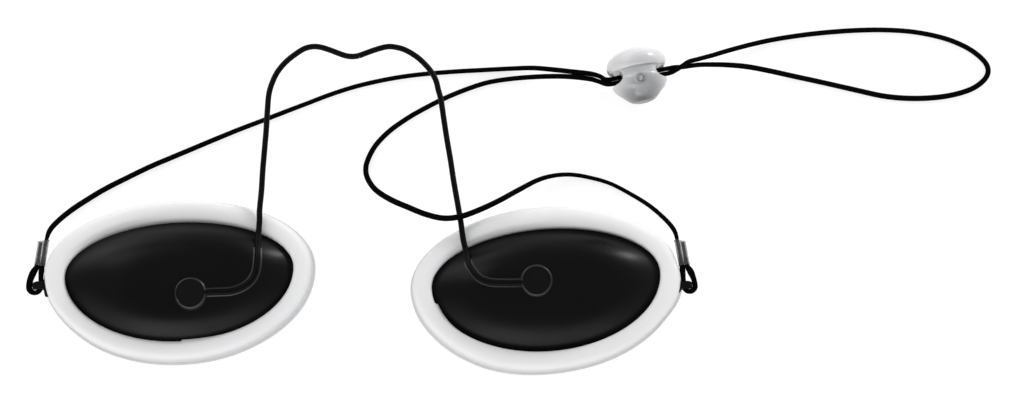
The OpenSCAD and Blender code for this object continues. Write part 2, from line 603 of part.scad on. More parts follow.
shell(LEFT);  // left_shell
shell(RIGHT);  // right_shell
seal(LEFT);  // left_seal
seal(RIGHT);  // right_seal
wire_pad(LEFT);  // left_wire_pad
wire_pad(RIGHT);  // right_wire_pad
bare(0);  // left_leg_wire
sleeve(0);  // left_leg_sleeve
bare(1);  // left_bend_wire
sleeve(1);  // left_bend_sleeve
bare(2);  // left_crest_wire
sleeve(2);  // left_crest_sleeve
bare(3);  // centre_bend_wire
sleeve(3);  // centre_bend_sleeve
bare(4);  // right_crest_wire
sleeve(4);  // right_crest_sleeve
bare(5);  // right_bend_wire
sleeve(5);  // right_bend_sleeve
bare(6);  // right_leg_wire
sleeve(6);  // right_leg_sleeve
cord_run(0, left_eye_end);  // left_cord_eye
cord_run(right_eye_end, len(cord_line) - 1);  // right_cord_eye
crimp(LEFT);  // left_crimp
crimp(RIGHT);  // right_crimp
cord_run(left_eye_end, left_lock_in);  // left_cord
cord_run(right_lock_in, right_eye_end);  // right_cord
cord_run(left_lock_out, right_lock_out);  // cord_bight
cord_in_lock();
lock_body();
lock_plunger();
lock_spring();
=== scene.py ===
"""Patient eye shields laid on a white table.

Two opaque cups with soft seals hang on one bendable wire bridge, and a round elastic cord joins
their outer ends through a spring lock. Sizes are in millimetres until a mesh is made. Meshes
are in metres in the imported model's frame, with z up and the table at z = 0.
"""

from __future__ import annotations

import logging  # noqa: E402
import math  # noqa: E402
from dataclasses import dataclass, field  # noqa: E402
from enum import Enum  # noqa: E402

import bpy  # noqa: E402
import numpy as np  # noqa: E402
from bpy.types import Node, NodeSocket, NodeTree, Object  # noqa: E402
from mathutils import Matrix, Vector  # noqa: E402


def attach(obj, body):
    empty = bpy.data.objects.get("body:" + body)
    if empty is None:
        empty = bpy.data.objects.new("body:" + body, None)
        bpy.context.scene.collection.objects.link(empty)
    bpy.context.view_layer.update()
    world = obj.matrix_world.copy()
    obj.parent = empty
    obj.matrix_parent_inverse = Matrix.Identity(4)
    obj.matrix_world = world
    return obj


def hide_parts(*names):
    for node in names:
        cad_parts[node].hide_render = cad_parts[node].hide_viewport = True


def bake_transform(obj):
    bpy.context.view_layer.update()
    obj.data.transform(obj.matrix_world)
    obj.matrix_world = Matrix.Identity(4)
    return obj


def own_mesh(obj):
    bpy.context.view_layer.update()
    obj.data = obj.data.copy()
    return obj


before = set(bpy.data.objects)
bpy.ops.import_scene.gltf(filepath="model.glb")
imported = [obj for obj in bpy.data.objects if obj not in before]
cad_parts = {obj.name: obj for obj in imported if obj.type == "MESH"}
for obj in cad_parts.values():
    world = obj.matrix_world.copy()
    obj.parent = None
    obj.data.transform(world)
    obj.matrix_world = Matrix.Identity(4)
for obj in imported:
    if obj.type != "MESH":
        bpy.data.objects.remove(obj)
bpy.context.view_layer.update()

MM = 0.001
log = logging.getLogger("eye_shields")


class Side(Enum):
    """The two sides of the pair, with the direction that points away from the nose."""

    LEFT = -1
    RIGHT = 1

    @property
    def word(self) -> str:
        """The side's name as the pieces use it."""
        return self.name.lower()


# Curves and sections


def catmull(points: np.ndarray, steps: int) -> np.ndarray:
    """Smooth curve through points: each span is the Catmull-Rom cubic of its four neighbours.

    Args:
        points: The points that the curve passes, as rows.
        steps: New points to each span.

    Returns:
        The curve's points, in which point i of the input is point i * steps.
    """
    p = np.asarray(points, float)
    i = np.arange(len(p) - 1)
    a, b, c, d = p[np.maximum(i - 1, 0)], p[i], p[i + 1], p[np.minimum(i + 2, len(p) - 1)]
    t = (np.arange(steps) / steps)[None, :, None]
    a, b, c, d = (x[:, None, :] for x in (a, b, c, d))
    line = 0.5 * (2 * b + (c - a) * t + (2 * a - 5 * b + 4 * c - d) * t**2
                  + (3 * b - a - 3 * c + d) * t**3)
    return np.concatenate([line.reshape(-1, p.shape[1]), p[-1:]])


def lengths_along(line: np.ndarray) -> np.ndarray:
    """Length of the line from its start to each of its points."""
    return np.concatenate([[0], np.cumsum(np.linalg.norm(np.diff(line, axis=0), axis=1))])


def respaced(line: np.ndarray, spacing: float) -> np.ndarray:
    """The line again with its points an equal length apart.

    Args:
        line: The points to follow.
        spacing: Length from one point to the next, in millimetres.

    Returns:
        The new points, both ends kept.
    """
    along = lengths_along(line)
    at = np.linspace(0, along[-1], max(3, round(along[-1] / spacing) + 1))
    return np.stack([np.interp(at, along, line[:, k]) for k in range(line.shape[1])], axis=1)


def swept(line: np.ndarray, section: np.ndarray) -> np.ndarray:
    """Carries a section along a line that is nowhere upright.

    Each ring lies square to the line: its first axis is level and its second points up.

    Args:
        line: Points of the path, one row each.
        section: Offsets (level, up), one set for all rings or one for each ring.

    Returns:
        The rings, as an array of rings by points by three.
    """
    ahead = np.gradient(line, axis=0)
    ahead /= np.linalg.norm(ahead, axis=1, keepdims=True)
    level = np.cross(ahead, [0, 0, 1])
    level /= np.linalg.norm(level, axis=1, keepdims=True)
    up = np.cross(level, ahead)
    section = np.broadcast_to(section, (len(line), *section.shape[-2:]))
    return (line[:, None] + section[..., :1] * level[:, None] + section[..., 1:] * up[:, None])


def turns(count: int) -> np.ndarray:
    """Angles of so many points evenly round a circle."""
    return np.linspace(0, 2 * math.pi, count, endpoint=False)


def arc(radius: float, start: float, end: float, count: int) -> np.ndarray:
    """Offsets along a round arc from one angle to another, in radians."""
    a = np.linspace(start, end, count)
    return radius * np.stack([np.cos(a), np.sin(a)], axis=1)


def circle(radius: float, sides: int) -> np.ndarray:
    """Offsets of a round section."""
    return arc(radius, 0, 2 * math.pi, sides + 1)[:-1]


def rounded(loop: np.ndarray, rounds: int) -> np.ndarray:
    """Closed outline with its corners cut again and again, which tends to a smooth curve.

    Args:
        loop: The outline's corners.
        rounds: How often each corner is cut at a quarter of its sides.

    Returns:
        The rounded outline, with twice as many points after each round.
    """
    for _ in range(rounds):
        ahead = np.roll(loop, -1, axis=0)
        loop = np.stack([0.75 * loop + 0.25 * ahead, 0.25 * loop + 0.75 * ahead],
                        axis=1).reshape(-1, loop.shape[1])
    return loop


def eased(t: np.ndarray) -> np.ndarray:
    """Rises from 0 to 1 with level ends, and stays there outside."""
    t = np.clip(t, 0, 1)
    return t * t * (3 - 2 * t)


# Meshes

CORNERS = np.array([[0, 0], [0, 1], [1, 1], [1, 0]])


def linked(name: str, data: bpy.types.ID) -> Object:
    """Makes an object of a mesh, a lamp or a camera and links it to the scene.

    Args:
        name: The object's name.
        data: The mesh, lamp or camera.

    Returns:
        The object.
    """
    obj = bpy.data.objects.new(name, data)
    bpy.context.scene.collection.objects.link(obj)
    return obj


def smooth(name: str, mesh: bpy.types.Mesh) -> Object:
    """Makes a linked object of a mesh, shaded smooth.

    Args:
        name: The object's name.
        mesh: The mesh.

    Returns:
        The object.
    """
    mesh.polygons.foreach_set("use_smooth", np.ones(len(mesh.polygons), bool))
    mesh.update()
    return linked(name, mesh)


def mesh_object(name: str, points: np.ndarray, faces: list[np.ndarray],
                places: list[np.ndarray] | None = None, scale: float = MM) -> Object:
    """Makes an object from arrays, smooth shaded, with its faces outwards.

    The sum of the tetrahedra from the origin gives the volume, and where it is negative every
    face is turned round.

    Args:
        name: The piece's name.
        points: Vertices in millimetres.
        faces: Arrays of faces, each with the same number of corners in a row.
        places: For each array of faces, the UV place of each corner.
        scale: What one unit of the points is in the object.

    Returns:
        The object, linked to the scene.
    """
    fans = [(f[:, 0], f[:, k], f[:, k + 1]) for f in faces for k in range(1, f.shape[1] - 1)]
    volume = sum((points[a] * np.cross(points[b], points[c])).sum() for a, b, c in fans)
    if volume < 0:
        faces = [f[:, ::-1] for f in faces]
        places = [p[:, ::-1] for p in places] if places else None
    mesh = bpy.data.meshes.new(name)
    mesh.from_pydata((points * scale).tolist(), [], [f for a in faces for f in a.tolist()])
    if places:
        flat = np.concatenate([p.reshape(-1, 2) for p in places])
        mesh.uv_layers.new(name="UVMap").data.foreach_set("uv", flat.astype(np.float32).ravel())
    mesh.validate()
    return smooth(name, mesh)


def surface(name: str, rings: np.ndarray, looped: bool = False,
            step: tuple[float, float] | None = None, scale: float = MM) -> Object:
    """Skins closed rings into one piece.

    Args:
        name: The piece's name.
        rings: Rings by points by three, in millimetres.
        looped: Joins the last ring to the first. Otherwise each end is closed at its middle.
        step: UV length of one point along and round, in millimetres, where a pattern needs it.
        scale: What one unit of the points is in the object.

    Returns:
        The piece.
    """
    rows, cols = rings.shape[:2]
    corner = np.stack(np.indices((rows - (not looped), cols)), -1).reshape(-1, 1, 2) + CORNERS
    faces, places = [corner[..., 0] % rows * cols + corner[..., 1] % cols], [corner]
    points = rings.reshape(-1, 3)
    if not looped:
        points = np.concatenate([points, rings[:1].mean(1), rings[-1:].mean(1)])
        k = np.arange(cols)
        for row, pole, (near, far) in ((0, rows * cols, (k, k + 1)),
                                       (rows - 1, rows * cols + 1, (k + 1, k))):
            faces.append(np.stack([0 * k + pole, row * cols + far % cols,
                                   row * cols + near % cols], axis=1))
            places.append(np.stack([np.stack([0 * k + row, x], 1) for x in (k, far, near)], 1))
    uv = None if step is None else [p[..., ::-1] * np.array(step[::-1]) for p in places]
    return mesh_object(name, points, faces, uv, scale)


def revolved(name: str, profile: np.ndarray, sides: int, scale: float = MM,
             looped: bool = False) -> Object:
    """Turns a profile about the z axis.

    Args:
        name: The piece's name.
        profile: Rows of (radius, height), from pole to pole or as a closed loop.
        sides: Points round the axis.
        scale: What one unit of the points is in the object.
        looped: The profile is closed and stays off the axis.

    Returns:
        The piece, about the origin.
    """
    turn = circle(1, sides)
    rings = np.concatenate([profile[:, None, :1] * turn[None],
                            np.broadcast_to(profile[:, None, 1:], (len(profile), sides, 1))], -1)
    return surface(name, rings, looped, scale=scale)


def rod(line: np.ndarray, radius: float, sides: int = 48) -> Object:
    """A round cutter or solid along a line, one unit to the millimetre."""
    return surface("rod", swept(np.asarray(line, float), circle(radius, sides)), scale=1)


def prism(name: str, outline: np.ndarray, axis: int, low: float, high: float) -> Object:
    """A closed outline drawn straight along one axis, one unit to the millimetre."""
    return surface(name, np.stack([np.insert(outline, axis, at, axis=1) for at in (low, high)]),
                   scale=1)


def slab(low: tuple[float, float, float], high: tuple[float, float, float]) -> Object:
    """A box between two corners, one unit to the millimetre.

    Args:
        low: The corner with the lowest places.
        high: The corner with the highest.

    Returns:
        The box.
    """
    (x0, y0, z0), (x1, y1, z1) = low, high
    square = np.array([[x0, y0], [x1, y0], [x1, y1], [x0, y1]], float)
    return prism("slab", square, 2, z0, z1)


class Work(Enum):
    """What is done to a solid with the next one, as the boolean modifier names it."""

    JOIN = "UNION"
    CUT = "DIFFERENCE"


@dataclass(frozen=True)
class Moulding:
    """How a moulded piece is cut from solids and gets the soft edges of its tool."""

    voxel: float = 0.11
    rounds: int = 6

    def make(self, name: str, body: Object,
             works: list[tuple[Work, Object]], place: Matrix) -> Object:
        """Joins and cuts a body step by step, rounds every edge and puts the piece in place.

        Args:
            name: The piece's name.
            body: The solid to start from, in millimetres.
            works: In order, what is done and the solid that is joined or cut away.
            place: Turns and moves millimetres in the piece's own frame to the assembly's.

        Returns:
            The piece in metres, with no modifier left on it.
        """
        for work, tool in works:
            step = body.modifiers.new(tool.name, "BOOLEAN")
            step.object, step.operation, step.solver = tool, work.value, "EXACT"
        even = body.modifiers.new("even", "REMESH")
        even.mode, even.voxel_size, even.use_smooth_shade = "VOXEL", self.voxel, True
        soft = body.modifiers.new("soft", "SMOOTH")
        soft.factor, soft.iterations = 0.5, self.rounds
        mesh = bpy.data.meshes.new_from_object(
            body.evaluated_get(bpy.context.evaluated_depsgraph_get()))
        for tool in [body, *[tool for _, tool in works]]:
            bpy.data.objects.remove(tool)
        mesh.name = name
        mesh.transform(Matrix.Scale(MM, 4) @ place)
        return smooth(name, mesh)


# Finishes


def linear(colour: str) -> tuple[float, float, float, float]:
    """Turns an sRGB hex colour into the linear colour that the shaders take."""
    parts = [int(colour[i:i + 2], 16) / 255 for i in (1, 3, 5)]
    return (*(c / 12.92 if c <= 0.04045 else ((c + 0.055) / 1.055) ** 2.4 for c in parts), 1.0)


def give(node: Node, values: dict) -> None:
    """Gives a node's inputs and properties their values.

    Args:
        node: The node.
        values: By an input's name or number, or by a property's name: a value or, for an
            input, the output that feeds it. Stops are places from 0 to 1 with linear colours.
    """
    for key, value in values.items():
        if isinstance(value, NodeSocket):
            node.id_data.links.new(value, node.inputs[key])
        elif isinstance(key, int) or key in node.inputs:
            node.inputs[key].default_value = value
        elif key == "stops":
            stops = node.color_ramp.elements
            while len(stops) < len(value):
                stops.new(0.5)
            for stop, (place, colour) in zip(stops, value):
                stop.position, stop.color = place, colour
        else:
            setattr(node, key, value)


def add(tree: NodeTree, kind: str, values: dict | None = None) -> Node:
    """Adds one node.

    Args:
        tree: The node tree.
        kind: The node's type, less the word ShaderNode that each type starts with.
        values: What it is given.

    Returns:
        The node.
    """
    node = tree.nodes.new(f"ShaderNode{kind}")
    give(node, values or {})
    return node


@dataclass(frozen=True)
class Finish:
    """A material by its real name, the record's slot that it fills and its principal values."""

    name: str
    slot: str
    colour: str
    roughness: float
    ior: float = 1.5
    specular: float = 0.5

    def dress(self, obj: Object) -> None:
        """Gives the piece this finish.

        Args:
            obj: The piece.
        """
        obj.data.materials.clear()
        obj.data.materials.append(bpy.data.materials.get(self.name) or self.material())

    def material(self) -> bpy.types.Material:
        """Makes the material: the plain shader first, then what the finish adds to it.

        Returns:
            The material.
        """
        material = bpy.data.materials.new(self.name)
        material.use_nodes = True
        shader = material.node_tree.nodes["Principled BSDF"]
        give(shader, {"Base Color": linear(self.colour), "Roughness": self.roughness,
                      "IOR": self.ior, "Specular IOR Level": self.specular})
        self.detail(material.node_tree, shader)
        return material

    def detail(self, tree: NodeTree, shader: Node) -> None:
        """Adds nothing: a plain finish has no pattern."""


@dataclass(frozen=True)
class Moulded(Finish):
    """Moulded plastic or rubber: an eroded tool's fine grain, and broad sink and flow marks."""

    shade: str = "#000000"
    grain: float = 0.35
    grain_depth: float = 0.006
    flow: float = 9.0
    flow_depth: float = 0.02
    flow_span: tuple[float, float] = (0.35, 0.65)
    spread: float = 0.06
    subsurface: float = 0.0
    reach: float = 1.0
    colour_reach: tuple[float, float, float] = (1.0, 0.95, 0.9)
    transmission: float = 0.0

    def detail(self, tree: NodeTree, shader: Node) -> None:
        """Fine grain and broad flow as bump, and the flow again in roughness and tone.

        Args:
            tree: The material's nodes.
            shader: Its principled shader.
        """
        at = add(tree, "TexCoord").outputs["Object"]
        flow, grain = (
            add(tree, "TexNoise", {"Scale": 1 / (size * MM), "Detail": detail,
                                   "Vector": at}).outputs["Fac"]
            for size, detail in ((self.flow, 2.0), (self.grain, 3.0)))
        broad = add(tree, "Bump", {"Strength": 1.0, "Distance": self.flow_depth * MM,
                                   "Height": flow}).outputs["Normal"]
        fine = add(tree, "Bump", {"Strength": 1.0, "Distance": self.grain_depth * MM,
                                  "Height": grain, "Normal": broad}).outputs["Normal"]
        start, end = self.flow_span
        rough = add(tree, "MapRange", {
            "From Min": start, "From Max": end, "To Min": self.roughness - self.spread,
            "To Max": self.roughness + self.spread, "Value": flow}).outputs["Result"]
        tone = add(tree, "Mix", {"data_type": "RGBA", 0: flow, 6: linear(self.colour),
                                 7: linear(self.shade)}).outputs[2]
        give(shader, {
            "Base Color": tone, "Roughness": rough, "Normal": fine,
            "Subsurface Weight": self.subsurface, "Subsurface Radius": self.colour_reach,
            "Subsurface Scale": self.reach * MM, "Transmission Weight": self.transmission})


@dataclass(frozen=True)
class Braided(Finish):
    """Braided yarn over rubber: fine fibres run along each carrier, with painted shade in the grooves.
    """

    pick: float = 0.42
    fibre_depth: float = 0.012
    # Painted shade: the grooves' darker colour, and the span of the waves over which it fades out
    painted_groove_shade: str = "#020202"
    painted_groove_shade_span: tuple[float, float] = (-0.5, 0.8)

    def detail(self, tree: NodeTree, shader: Node) -> None:
        """Two slanting waves on the piece's own UV, one unit to the millimetre.

        Args:
            tree: The material's nodes.
            shader: Its principled shader.
        """
        u, v, _ = add(tree, "SeparateXYZ", {0: add(tree, "TexCoord").outputs["UV"]}).outputs
        waves = []
        for sign in (1.0, -1.0):
            slant = add(tree, "Math", {"operation": "MULTIPLY_ADD", 0: v, 1: sign, 2: u})
            turn = add(tree, "Math", {"operation": "MULTIPLY", 0: slant.outputs[0],
                                      1: 2 * math.pi / self.pick})
            waves.append(add(tree, "Math", {"operation": "SINE", 0: turn.outputs[0]}).outputs[0])
        yarn = add(tree, "Math", {"operation": "MAXIMUM", 0: waves[0], 1: waves[1]}).outputs[0]
        bump = add(tree, "Bump", {"Strength": 1.0, "Distance": self.fibre_depth * MM,
                                  "Height": yarn})
        # Painted shade: low in the waves, between the picks, the colour darkens
        start, end = self.painted_groove_shade_span
        share = add(tree, "MapRange", {"From Min": start, "From Max": end, "Value": yarn})
        tone = add(tree, "Mix", {"data_type": "RGBA", 0: share.outputs["Result"],
                                 6: linear(self.painted_groove_shade), 7: linear(self.colour)})
        give(shader, {"Base Color": tone.outputs[2], "Normal": bump.outputs["Normal"]})


@dataclass(frozen=True)
class Milky(Moulded):
    """Natural nylon, with painted shade: its colour greys from the cap down to the thick foot.

    The painted shade stands in for light from the left: the tone also rises with the square of
    the distance from a line right of the middle.
    """

    # Where the painted shade runs: heights of foot and cap, its darkest line and how fast it lightens
    # away
    low: float = 23.6
    high: float = 36.1
    middle: float = 63.5
    bow: float = 0.011
    # Painted shade: colour stops from the dark foot at 0 up to the cap at 1
    painted_shade_tones: tuple[tuple[float, str], ...] = (
        (0.0, "#302f2e"), (0.05, "#6c6a69"), (0.12, "#878688"), (0.3, "#989a9d"),
        (0.45, "#b0b1b3"), (0.58, "#c0c1c3"), (0.66, "#c4c4c6"), (0.78, "#cdcdcf"),
        (0.9, "#d2d2d3"), (1.0, "#d0d0d1"))

    def detail(self, tree: NodeTree, shader: Node) -> None:
        """The moulded grain, and painted shade whose tone follows the height up the lock.

        Args:
            tree: The material's nodes.
            shader: Its principled shader.
        """
        super().detail(tree, shader)
        at = add(tree, "TexCoord").outputs["Object"]
        x, y, _ = add(tree, "SeparateXYZ", {0: at}).outputs
        share = add(tree, "MapRange", {"From Min": self.low * MM, "From Max": self.high * MM,
                                       "Value": y}).outputs["Result"]
        off = add(tree, "Math", {"operation": "SUBTRACT", 0: x, 1: self.middle * MM}).outputs[0]
        square = add(tree, "Math", {"operation": "MULTIPLY", 0: off, 1: off}).outputs[0]
        painted_shade_share = add(tree, "Math", {"operation": "MULTIPLY_ADD", 0: square,
                                   1: self.bow / MM**2, 2: share}).outputs[0]
        painted_shade_ramp = add(tree, "ValToRGB", {
            0: painted_shade_share, "stops": [(place, linear(tone)) for place, tone in self.painted_shade_tones]})
        give(shader, {"Base Color": painted_shade_ramp.outputs["Color"]})


@dataclass(frozen=True)
class Silicone(Moulded):
    """White silicone, with painted shade that greys its low skirt below its thick crest."""

    # Painted shade: the greyer colour low on the skirt, giving way to the crest's between the heights
    # below
    painted_skirt_shade: str = "#cdcdce"
    low: float = 4.0
    high: float = 6.9

    def detail(self, tree: NodeTree, shader: Node) -> None:
        """The moulded grain, and painted shade that greys the colour down the skirt.

        Args:
            tree: The material's nodes.
            shader: Its principled shader.
        """
        super().detail(tree, shader)
        tone = shader.inputs["Base Color"].links[0].from_socket
        at = add(tree, "TexCoord").outputs["Object"]
        rise = add(tree, "MapRange", {
            "interpolation_type": "SMOOTHSTEP", "From Min": self.low * MM,
            "From Max": self.high * MM, "Value": add(tree, "SeparateXYZ", {0: at}).outputs["Z"]})
        painted_shade_tone = add(tree, "Mix", {"data_type": "RGBA", 0: rise.outputs["Result"],
                                   6: linear(self.painted_skirt_shade), 7: tone})
        give(shader, {"Base Color": painted_shade_tone.outputs[2]})


@dataclass(frozen=True)
class Steel(Finish):
    """Drawn wire: metal with faint die marks along it."""

    marks: float = 0.3
    spread: float = 0.08

    def detail(self, tree: NodeTree, shader: Node) -> None:
        """Metal, with a fine noise in its roughness.

        Args:
            tree: The material's nodes.
            shader: Its principled shader.
        """
        at = add(tree, "TexCoord").outputs["Object"]
        marks = add(tree, "TexNoise", {"Scale": 1 / (self.marks * MM), "Vector": at})
        rough = add(tree, "MapRange", {
            "To Min": self.roughness - self.spread, "To Max": self.roughness + self.spread,
            "Value": marks.outputs["Fac"]})
        give(shader, {"Metallic": 1.0, "Roughness": rough.outputs["Result"]})


# Polycarbonate from a satin tool: deep black, with a soft wide highlight
SHELL = Moulded("moulded_black_polycarbonate", "shell_plastic", "#040404", 0.32, 1.5, 0.11,
                shade="#080808", grain=0.5, grain_depth=0.002, flow=14, flow_depth=0.03)
# Silicone from a matt tool: light goes a little way into it, so that it looks even and soft
# Its colour carries painted shade: the low skirt is painted greyer
SEAL = Silicone("moulded_white_silicone", "seal_silicone", "#ececed", 0.55, 1.42, 0.2,
                shade="#e9e9ea", grain=0.3, grain_depth=0.003, flow=7, flow_depth=0.03,
                subsurface=0.3, reach=0.7)
# The same shell, glossier where a polished insert shaped it round the wire; its lighter colour is
# painted highlight on the thin beads
BEAD = Moulded("polished_black_polycarbonate", "shell_plastic", "#090909", 0.34, 1.5, 0.5,
               shade="#101010", grain=0.5, grain_depth=0.002, flow=14, flow_depth=0.03)
# Vinyl disc on the wire's end, a little duller than the shell
DISC = Moulded("moulded_black_vinyl", "pad_plastic", "#070707", 0.42, 1.5, 0.12,
               shade="#050505", grain=0.3, grain_depth=0.004, flow=3, flow_depth=0.01)
# Extruded vinyl sleeve over the wire: smooth, with slow swells from the die
SLEEVE = Moulded("extruded_black_vinyl", "wire_vinyl", "#040404", 0.42, 1.45, 0.08,
                 shade="#060606", grain=0.6, grain_depth=0.005, flow=2.5, flow_depth=0.02)
# Knitted cover over a rubber core: the yarn swallows light, so that only its picks show
# Its grooves carry painted shade
CORD = Braided("braided_black_elastic", "cord_elastic", "#050506", 0.85, 1.3, 0.06)
# Shrunk clear tube: slightly clouded where it was heated
CLEAR = Moulded("shrunk_clear_vinyl", "clear_vinyl", "#c2c2c4", 0.08, 1.4, 0.5,
                shade="#cececf", grain=0.5, grain_depth=0.002, flow=2, flow_depth=0.05,
                transmission=0.95)
# Natural nylon: milky, so that light spreads in it and its edges soften
# Its colour carries painted shade, grey towards the foot and lighter to the left
MILKY = Milky("moulded_natural_nylon", "lock_plastic", "#e2e3e8", 0.14, 1.5, 0.5,
              shade="#d9dae1", grain=0.6, grain_depth=0.004, flow=3, flow_depth=0.03,
              subsurface=0.45, reach=1.2)
WIRE_STEEL = Steel("annealed_steel_wire", "wire_steel", "#b9b7b2", 0.36)
SPRING_STEEL = Steel("bright_spring_steel", "spring_steel", "#c4c4c2", 0.28)


def ride(obj: Object, finish: Finish, body: str, *nodes: str) -> None:
    """Dresses a piece and lets it ride on a body.

    Args:
        obj: The piece.
        finish: Its finish.
        body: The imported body.
        nodes: The nodes that it stands for.
    """
    finish.dress(obj)
    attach(obj, body)
    if nodes:
        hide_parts(*nodes)
    log.info("%s rides on %s", obj.name, body)


def bend(obj: Object, finish: Finish, bodies: tuple[str, str],
         ends: tuple[list[float], list[float]], nodes: tuple[str, ...]) -> None:
    """Dresses a piece that runs from one body to another, and bakes its place into its mesh.

    Args:
        obj: The piece.
        finish: Its finish.
        bodies: The body that it leaves and the body that it goes over to.
        ends: Not used: where the bend starts and where it ends, in millimetres.
        nodes: The nodes that it stands for.
    """
    finish.dress(obj)
    start, end = (tuple(np.array(place) * MM) for place in ends)
    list(bodies)
    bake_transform(obj)
    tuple(start)
    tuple(end)
    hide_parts(*nodes)
    log.info("%s bends from %s to %s", obj.name, *bodies)


# The cups


@dataclass(frozen=True)
class CupSizes:
    """What the two cups share."""

    half_w: float = 30.3
    upper: float = 16.3
    lower: float = 20.8
    seal_w: float = 4.9
    seal_h: float = 7.2
    painted_groove_shade_d: float = 2.5
    painted_groove_shade_gap: float = 0.05
    flange_z: float = 4.1
    flange_t: float = 1.4
    wall: float = 1.3
    rise: float = 6.5
    power: float = 3.4
    pad_r: float = 3.15
    pad_t: float = 0.9
    pad_gap: float = 0.05
    lug_reach: float = 0.2
    lug_tip: float = 1.2
    lug_len: float = 1.7
    lug_h: float = 2.4
    lug_gap: float = 0.1
    web_w: float = 5.6
    web_in: float = 0.6
    web_short: float = 0.8
    edge: float = 0.15
    droop: float = 0.55

    @property
    def flange_top(self) -> float:
        """Height of the flange's upper face."""
        return self.flange_z + self.flange_t

    @property
    def lug_z(self) -> float:
        """Height of the cord hole's middle."""
        return self.flange_z + self.flange_t / 2

    @property
    def hole_x(self) -> float:
        """Distance of the cord hole from the cup's middle."""
        return self.half_w + self.lug_reach

    def egg(self, a: np.ndarray, inset: np.ndarray, share: np.ndarray = 1.0) -> np.ndarray:
        """Outline of a cup: two half ellipses joined at the widest chord.

        Args:
            a: Angles round the cup, in radians.
            inset: How far the outline is drawn in.
            share: Scale of the outline about the cup's middle.

        Returns:
            Places in the cup's own frame.
        """
        depth = np.where(np.sin(a) > 0, self.upper, self.lower)
        return np.stack([share * (self.half_w - inset) * np.cos(a),
                         share * (depth - inset) * np.sin(a)], axis=-1)


